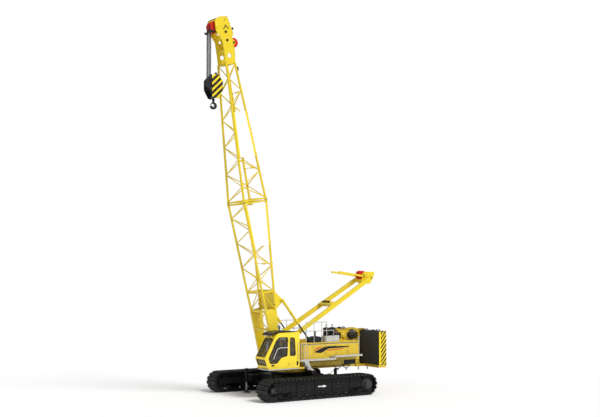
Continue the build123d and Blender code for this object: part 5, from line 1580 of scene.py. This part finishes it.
def mast_head_caps(form):
    """Caps and bolts on the shafts at the mast's head, and pins of its short arm."""
    for x, y, z, radius in ((MAST_HEAD.x, 0.68, MAST_HEAD.z, 0.12), (*ARM_FOOT, 0.085)):
        form.turned([(0, radius), (0.02, radius), (0.03, radius * 0.7)], (x, y, z), LEFT, 24)
        form.turned([(0.03, radius * 0.4), (0.04, radius * 0.35)], (x, y, z), LEFT, 16, 1)
        form.bolts(round_places((x, y + 0.02, z), radius * 0.68, 6), LEFT, 0.012, 2)
    for step, out in ((0.02, LEFT), (-0.02, RIGHT)):
        face = (ARM_TIP[0], ARM_TIP[1] + step, ARM_TIP[2])
        form.turned([(0, 0.07), (0.03, 0.07), (0.04, 0.05)], face, out, 20)
    form.turned([(0, 0.05), (0.02, 0.05)], (-5.05, 0.39, 6.80), LEFT, 18, 1)


def mast_leg(form):
    """Collars at the ends of a leg, and bolts along it."""
    lean = pi - (MAST_HEAD - MAST_PIN).angle(Vector(BACK))
    for share in (0.06, 0.94):
        place = Matrix.Translation(mast_spot(share)) @ Matrix.Rotation(lean, 4, "Y")
        form.box((-0.06, 0.06), (-0.082, 0.082), (-0.127, 0.127), 0.01, 0, place)
    form.bolts([mast_spot(share, 0.075) for share in (0.2, 0.35, 0.72, 0.86)], LEFT, 0.018, 2)


def mast_guide(form):
    """The rope rollers on the cross member, between two lugs, and a stop at the head."""
    member = mast_spot(0.55)
    x, z = member.x + 0.05, member.z + 0.22
    roller = [(-0.05, 0.07), (-0.03, 0.07), (-0.02, 0.05), (0.02, 0.05), (0.03, 0.07), (0.05, 0.07)]
    for y in (-0.28, 0.0, 0.28):
        form.turned(roller, (x, y, z), LEFT, 20, 1)
    form.turned([(-0.42, 0.02), (0.42, 0.02)], (x, 0, z), LEFT, 12, 2)
    for y in (-0.42, 0.42):
        form.box(around(x, 0.05), around(y, 0.015), (z - 0.2, z + 0.05), 0.006, 0)
    form.box((-5.62, -5.5), (-0.1, 0.1), (6.98, 7.04), 0.01, 1)


def foot_pins(form):
    """Pin caps of the mast and the boom in the turntable, and the backstop's bolted seat."""
    for x, y, z, radius in ((MAST_PIN.x, 0.945, MAST_PIN.z, 0.085), (BOOM_PIN[0], 0.985, BOOM_PIN[2], 0.11)):
        form.turned([(0, radius), (0.02, radius), (0.03, radius - 0.03)], (x, y, z), LEFT, 24, 0)
        form.bolts(round_places((x, y + 0.02, z), radius * 0.65, 4), LEFT, 0.014, 1)
    form.box((-0.72, -0.48), (0.86, 1.07), (2.24, 2.27), 0.006, 0)
    form.bolts([(x, y, 2.27) for x in (-0.69, -0.51) for y in (0.895, 1.035)], UP, 0.014, 1)


class CRANE_OT_mast(bpy.types.Operator):
    """Pins, collars, rope guides and head caps of the mast, and the pins at its foot"""

    bl_idname = "crane.mast"
    bl_label = "Mast fittings"

    def execute(self, context):
        form = Form()
        mast_head_caps(form)
        mast_leg(form)
        form.mirror()
        mast_guide(form)
        piece("mast_fittings", form, ["boom_paint", "black_paint", "bright_steel"], "mast", "boom_paint")
        form = Form()
        foot_pins(form)
        form.mirror()
        piece("pin_caps", form, ["black_paint", "bright_steel"], "superstructure", "body_paint")
        return {"FINISHED"}


# Boom

# starts and ends of the boards, and places of the rope guides, along the boom
BOARDS = ((11.85, 14.45), (6.7, 9.1))
ROPE_GUIDES = (5.6, 7.7, 11.2, 13.4, 15.6)


def joint_sleeves(form):
    """Sleeves, pins and faces where a chord of the two sections meets, on the left."""
    along = BOOM_STATIONS[2][0]
    wide, deep = half_size(along)
    for ahead in (-deep, deep):
        place = boom_place(along, wide, ahead)
        spot, up = place.translation, place.to_3x3() @ Vector(UP)
        for start, end in ((-0.17, -0.012), (0.012, 0.17)):
            form.turned([(start, 0.07), (start + 0.02, 0.08), (end - 0.02, 0.08), (end, 0.07)], spot, up, 20)
        form.turned([(-0.105, 0.02), (-0.1, 0.034), (0.1, 0.034), (0.105, 0.02)], spot, LEFT, 14, 2)
        form.turned([(-0.012, 0.06), (0.012, 0.06)], spot, up, 16)


def rope_guide(form, along):
    """A rope guide across the boom's back: axle, two rollers and the brackets on the chords."""
    wide, deep = half_size(along)
    back = boom_place(along, 0.0, -deep - 0.03)
    form.turned([(-wide + 0.05, 0.018), (wide - 0.05, 0.018)], back.translation, LEFT, 10)
    roller = [(-0.04, 0.05), (-0.03, 0.05), (-0.02, 0.035), (0.02, 0.035), (0.03, 0.05), (0.04, 0.05)]
    for across in (-0.1, 0.1):
        form.turned(roller, back @ Vector((0, across, 0)), LEFT, 16)
    for across in (-wide, wide):
        form.box((-0.08, 0.06), (-0.068, 0.068), (-0.03, 0.03), 0.01, 0, boom_place(along, across, -deep))


def board_clips(form, low, high):
    """Bolted clips that hold a board on the left chords."""
    for share in (0.06, 0.5, 0.94):
        along = low + share * (high - low)
        wide, deep = half_size(along)
        for ahead in (-deep, deep):
            clip = boom_place(along, wide, ahead)
            form.box((-0.066, 0.066), (-0.066, 0.082), (-0.025, 0.025), 0.01, 0, clip)
            form.bolts([clip @ Vector((0.0, 0.082, 0.0))], LEFT, 0.014, 2)


def boom_leg(form):
    """Pin caps, bolts and the foot ring on the left leg."""
    outer = BOOM_STATIONS[0][1] / 2
    stop_x, stop_y, stop_z = BACKSTOP_TOP
    form.turned([(0, 0.06), (0.02, 0.06), (0.03, 0.045)], (stop_x, stop_y + 0.09, stop_z), LEFT, 20)
    for along, ahead in ((3.0, -0.22), (3.25, -0.26)):
        spot = boom_place(along, outer - 0.01, ahead).translation
        form.turned([(0, 0.035), (0.015, 0.03)], spot, LEFT, 16, 1)
    for along in (0.5, 1.0, 1.5, 2.0, 2.5):
        reach = 0.2 + 0.04 * along
        form.bolts([boom_place(along, outer, ahead).translation for ahead in (-reach, reach)], LEFT, 0.013, 2)
    form.turned([(0, 0.155), (0.006, 0.155), (0.008, 0.15)], boom_place(0.0, outer).translation, LEFT, 30)


class CRANE_OT_boom(bpy.types.Operator):
    """Joint sleeves and pins, rope guides, board clips and small gear along the boom"""

    bl_idname = "crane.boom"
    bl_label = "Boom fittings"

    def execute(self, context):
        form = Form()
        joint_sleeves(form)
        boom_leg(form)
        form.mirror()
        for along in ROPE_GUIDES:
            rope_guide(form, along)
        for low, high in BOARDS:
            board_clips(form, low, high)
        form.box((-0.08, 0.08), (-0.05, 0.05), (-0.12, 0.12), 0.015, 1, boom_place(16.9, 0.48, -0.36))
        piece("boom_fittings", form, ["boom_paint", "black_paint", "bright_steel"], "boom", "boom_paint")
        return {"FINISHED"}


# Boom head

HEAD_SHAFT = (5.25, 20.97)
HEAD_FOOT = 17.24
# corners of the head's side plate from its sheave shaft, each with its radius, between its two foot corners
HEAD_CORNERS = (
    ((-0.44, -1.42), 0.60), ((-0.33, -0.78), 0.30), ((0.10, -0.25), 0.20), ((0.17, 0.33), 0.04),
    ((-0.10, 0.56), 0.30), ((-0.62, 0.64), 0.04), ((-1.03, -0.30), 0.08), ((-0.95, -0.55), 0.06),
    ((-1.15, -1.34), 0.40),
)
HEAD_HOLES = ((-0.54, -0.27, 0.085), (-0.64, -0.73, 0.085), (-0.79, -1.60, 0.135))
CHEVRON = ((-0.37, -0.13), (-0.52, 0.15), (-0.74, -0.06), (-0.70, -0.09), (-0.53, 0.08), (-0.42, -0.14))


def from_head_shaft(points):
    """Points of the head's side view, moved to its shaft."""
    return [(HEAD_SHAFT[0] + u, HEAD_SHAFT[1] + v) for u, v in points]


def head_rims(form, face):
    """Raised rims round the side plate and its holes."""
    foot = boom_place(HEAD_FOOT)
    corners = from_head_shaft([point for point, radius in HEAD_CORNERS])
    radii = [0.02, *[radius for point, radius in HEAD_CORNERS], 0.02]
    ahead, behind = [foot @ Vector((reach, 0, 0)) for reach in (0.315, -0.315)]
    outline = rounded([(ahead.x, ahead.z), *corners, (behind.x, behind.z)], radii, 5)
    form.collar(inset(outline, 0.004), inset(outline, 0.03), face, face + 0.014)
    for u, v, radius in HEAD_HOLES:
        hole = from_head_shaft([(u, v)])[0]
        form.collar(circle(hole, radius + 0.03, 28), circle(hole, radius, 28), face, face + 0.012)


def head_plate(form, face):
    """The shaft's cap, pin heads, a plain chevron and brackets on the side plate."""
    x, z = HEAD_SHAFT
    form.turned([(0, 0.12), (0.02, 0.12), (0.03, 0.10), (0.045, 0.06)], (x, face, z), LEFT, 28)
    form.bolts(round_places((x, face + 0.02, z), 0.095, 6), LEFT, 0.014)
    for u, v in ((-0.80, -1.06), (-0.80, -0.44), (-0.76, 0.25), (-0.55, -1.30)):
        form.turned([(0, 0.055), (0.012, 0.055), (0.016, 0.03)], (x + u, face, z + v), LEFT, 18)
    form.slab(from_head_shaft(CHEVRON), face, face + 0.012, "y", 0.0, 1)
    form.bolts([(x - 0.47, face, z + 0.42)], LEFT, 0.03, 1)
    form.box((x - 1.03, x - 0.93), (face - 0.03, face + 0.02), (z - 0.10, z + 0.04), 0.01, 1)
    form.box((x + 0.10, x + 0.37), (0.385, 0.40), (z - 0.40, z - 0.27), 0.01, 1)


def head_bars(form):
    """Bars across the head that keep the ropes on the sheaves."""
    x, z = HEAD_SHAFT
    bars = ((0.36, -0.33, 0.40, 0.032, 1), (0.10, 0.41, 0.42, 0.025, 1), (-0.42, 0.05, 0.42, 0.03, 1))
    for u, v, half, radius, look in bars:
        form.pipe([(x + u, y, z + v) for y in (-half, half)], radius, 12, look)
    form.pipe([(x - 0.5, y, z + 0.28) for y in (-0.42, 0.42)], 0.025, 10, 0)
    vane = [(0, 0.05), (0.02, 0.05), (0.03, 0.02), (0.22, 0.018), (0.24, 0.05), (0.3, 0.05), (0.33, 0.02)]
    form.turned(vane, (x - 0.5, 0.0, z + 0.28), UP, 16, 1)


class CRANE_OT_boom_head(bpy.types.Operator):
    """Rims, shaft caps, rope guards and brackets on the boom head"""

    bl_idname = "crane.boom_head"
    bl_label = "Boom head fittings"

    def execute(self, context):
        x, z = HEAD_SHAFT
        face = max(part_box("boom_head_sheaves")[1].y + 0.13, 0.445)
        guide_x, guide_z = x - 1.3, z - 0.73
        form = Form()
        head_rims(form, face)
        head_plate(form, face)
        form.turned([(0, 0.06), (0.015, 0.06), (0.02, 0.04)], (guide_x, 0.066, guide_z), LEFT, 18, 1)
        form.mirror()
        for u, v, _ in HEAD_HOLES[:2]:
            form.turned([(-0.04, 0.082), (-0.02, 0.082), (-0.01, 0.05)], (x + u, face, z + v), LEFT, 20, 1)
        head_bars(form)
        form.pipe([(guide_x - 0.2, y, guide_z - 0.2) for y in (-0.06, 0.06)], 0.016, 8, 2)
        piece("head_fittings", form, ["boom_paint", "black_paint", "bright_steel"], "boom", "boom_paint")
        return {"FINISHED"}


# Backstops, hook block and ropes

BACKSTOP_TOP = Vector((1.2, 0.965, 5.44))
BACKSTOP_SEAT = Vector((-0.6, 0.965, 3.16))
TUBE_LENGTH = 1.75
BLOCK_SHAFT_Z = 17.75
HOOK_EYE_Z = 16.49
FALLS = 8
FALL_PITCH = 0.066


class CRANE_OT_backstops(bpy.types.Operator):
    """Collars and seals on the backstops"""

    bl_idname = "crane.backstops"
    bl_label = "Backstop fittings"

    def execute(self, context):
        way = (BACKSTOP_SEAT - BACKSTOP_TOP).normalized()
        tubes, rods = Form(), Form()
        for along in (0.16, 0.9, TUBE_LENGTH - 0.13):
            band = [(0, 0.078), (0.01, 0.088), (0.06, 0.088), (0.07, 0.078)]
            tubes.turned([(along + step, radius) for step, radius in band], BACKSTOP_TOP, way, 24, 0)
        gland = [(0, 0.07), (0.02, 0.062), (0.03, 0.05)]
        tubes.turned([(TUBE_LENGTH + step, radius) for step, radius in gland], BACKSTOP_TOP, way, 24, 1)
        ring = [(0, 0.047), (0.02, 0.06), (0.06, 0.06), (0.08, 0.047)]
        rods.turned(ring, BACKSTOP_SEAT - way * 0.16, way, 20, 0)
        eye = [(-0.066, 0.055), (-0.06, 0.06), (0.06, 0.06), (0.066, 0.055)]
        rods.turned(eye, BACKSTOP_SEAT, LEFT, 20, 1)
        tubes.mirror()
        rods.mirror()
        piece("backstop_collars", tubes, ["boom_paint", "black_paint"], "backstop_tubes", "boom_paint")
        piece("backstop_rod_collars", rods, ["black_paint", "bright_steel"], "backstop_rods", "black_paint")
        return {"FINISHED"}


def sheave_covers(form, x, z):
    """The two curved covers over the block's sheaves, open where the ropes run in and below."""
    steps, radius, sheet = 14, 0.415, 0.015
    for start, end in ((-100, 36), (144, 262)):
        turns = [radians(start + step * (end - start) / steps) for step in range(steps + 1)]
        outer = [(x + radius * cos(turn), z + radius * sin(turn)) for turn in turns]
        bore = radius - sheet
        inner = [(x + bore * cos(turn), z + bore * sin(turn)) for turn in reversed(turns)]
        form.slab(outer + inner, -0.285, 0.285, "y")


def block_cheek(form, x, shaft_z, low, high):
    """Caps of the shaft and the crosshead, bolts and the lug on the block's left cheek."""
    cross_z = low.z + 0.15
    form.turned([(0, 0.11), (0.016, 0.11), (0.02, 0.1)], (x, high.y, shaft_z), LEFT, 28, 2)
    form.bolts(round_places((x, high.y + 0.016, shaft_z), 0.08, 6), LEFT, 0.013, 1)
    form.turned([(0, 0.1), (0.012, 0.1), (0.016, 0.09)], (x, high.y, cross_z), LEFT, 26, 2)
    form.bolts(round_places((x, high.y + 0.015, cross_z), 0.085, 4), LEFT, 0.012, 1)
    corners = ((x - 0.33, shaft_z - 0.34), (x + 0.33, shaft_z - 0.34), (x, high.z - 0.07))
    form.bolts([(u, high.y, v) for u, v in corners], LEFT, 0.03, 1)
    lug = rounded([(-0.1, -0.02), (0.1, -0.02), (0.06, 0.1), (-0.06, 0.1)], 0.04)
    form.slab(lug, 0.29, 0.314, "y", 0.004, 0, Matrix.Translation((x, 0, high.z)))


def hook_fittings(x, z):
    """The safety latch with its pin, and the nut and collar on the shank, from the hook's eye."""
    form = Form()
    latch = [(0.03, 0.20), (0.09, 0.19), (0.20, 0.03), (0.17, 0.0), (0.05, 0.14)]
    form.slab(rounded([(x + u, z + v) for u, v in latch], 0.015, 3), -0.03, 0.03, "y", 0.004, 1)
    form.turned([(-0.065, 0.018), (0.065, 0.018)], (x + 0.06, 0, z + 0.17), LEFT, 14, 1)
    form.turned([(0, 0.095), (0.02, 0.095), (0.03, 0.08), (0.05, 0.078)], (x, 0, z + 0.29), UP, 24)
    form.turned([(0, 0.1), (0.025, 0.1), (0.035, 0.085)], (x, 0, z + 0.355), UP, 24, 1)
    return form


class CRANE_OT_hook_block(bpy.types.Operator):
    """Sheave covers, bolts and caps on the hook block, and the hook's latch"""

    bl_idname = "crane.hook_block"
    bl_label = "Hook block fittings"

    def execute(self, context):
        low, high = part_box("hook_block")
        x = HEAD_SHAFT[0]
        form = Form()
        block_cheek(form, x, BLOCK_SHAFT_Z, low, high)
        form.mirror()
        sheave_covers(form, x, BLOCK_SHAFT_Z)
        looks = ["black_paint", "bright_steel", "block_paint"]
        piece("block_fittings", form, looks, "hook_block", "block_paint")
        looks = ["hook_iron", "bright_steel"]
        piece("hook_latch", hook_fittings(x, HOOK_EYE_Z), looks, "hook", "hook_iron")
        return {"FINISHED"}


def laid_rope(form, x, y, low_z, high_z, lay):
    """One upright rope with six strands that go round once in a lay."""
    strands, steps, radius, groove = 6, 3, 0.0165, 0.75
    levels = int((high_z - low_z) / 0.045)
    rings = []
    for level in range(levels + 1):
        z = low_z + (high_z - low_z) * level / levels
        ring = []
        for step in range(strands * steps):
            reach = radius if step % steps else groove * radius
            turn = 2 * pi * (step / (strands * steps) + z / lay)
            ring.append(Vector((x + reach * cos(turn), y + reach * sin(turn), z)))
        rings.append(ring)
    form.rows(rings, 0)


class CRANE_OT_falls(bpy.types.Operator):
    """Laid wire ropes in place of the plain falls"""

    bl_idname = "crane.falls"
    bl_label = "Rope falls"

    def execute(self, context):
        low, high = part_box("hoist_falls")
        centre_x = (low.x + high.x) / 2
        split = 0.012
        form = Form()
        for fall in range(FALLS):
            y = (fall - (FALLS - 1) / 2) * FALL_PITCH
            y += split if y > 0 else -split
            laid_rope(form, centre_x, y, low.z, high.z, context.scene.crane_sizes.rope_lay)
        ropes = piece("laid_falls", form, ["wire_rope"], "hoist_falls", "wire_rope", "hoist_falls")
        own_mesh(ropes)
        return {"FINISHED"}


class CRANE_PT_panel(bpy.types.Panel):
    """Lists the crane's pieces in the order they are made"""

    bl_label = "Crawler crane"
    bl_idname = "CRANE_PT_panel"
    bl_space_type = "VIEW_3D"
    bl_region_type = "UI"
    bl_category = "Crane"

    def draw(self, context):
        scene = context.scene
        for operator in OPERATORS:
            self.layout.operator(operator.bl_idname)
        for group in (scene.crane_paints, scene.crane_sizes, scene.crane_view):
            for name in group.bl_rna.properties.keys():
                if name not in ("rna_type", "name"):
                    self.layout.prop(group, name)


OPERATORS = (
    CRANE_OT_stage,
    CRANE_OT_finishes,
    CRANE_OT_track_shoes,
    CRANE_OT_side_frames,
    CRANE_OT_carbody_fittings,
    CRANE_OT_hoods,
    CRANE_OT_walkways,
    CRANE_OT_deck,
    CRANE_OT_cab,
    CRANE_OT_winches,
    CRANE_OT_counterweight,
    CRANE_OT_mast,
    CRANE_OT_boom,
    CRANE_OT_boom_head,
    CRANE_OT_backstops,
    CRANE_OT_hook_block,
    CRANE_OT_falls,
)
GROUPS = {"crane_paints": CranePaints, "crane_sizes": CraneSizes, "crane_view": CraneView}
CLASSES = (*GROUPS.values(), *OPERATORS, CRANE_PT_panel)


def register():
    for item in CLASSES:
        bpy.utils.register_class(item)
    for name, group in GROUPS.items():
        setattr(bpy.types.Scene, name, PointerProperty(type=group))


def unregister():
    for name in GROUPS:
        delattr(bpy.types.Scene, name)
    for item in reversed(CLASSES):
        bpy.utils.unregister_class(item)


def main():
    register()
    for operator in OPERATORS:
        group, name = operator.bl_idname.split(".")
        getattr(getattr(bpy.ops, group), name)()


if __name__ == "__main__":
    main()
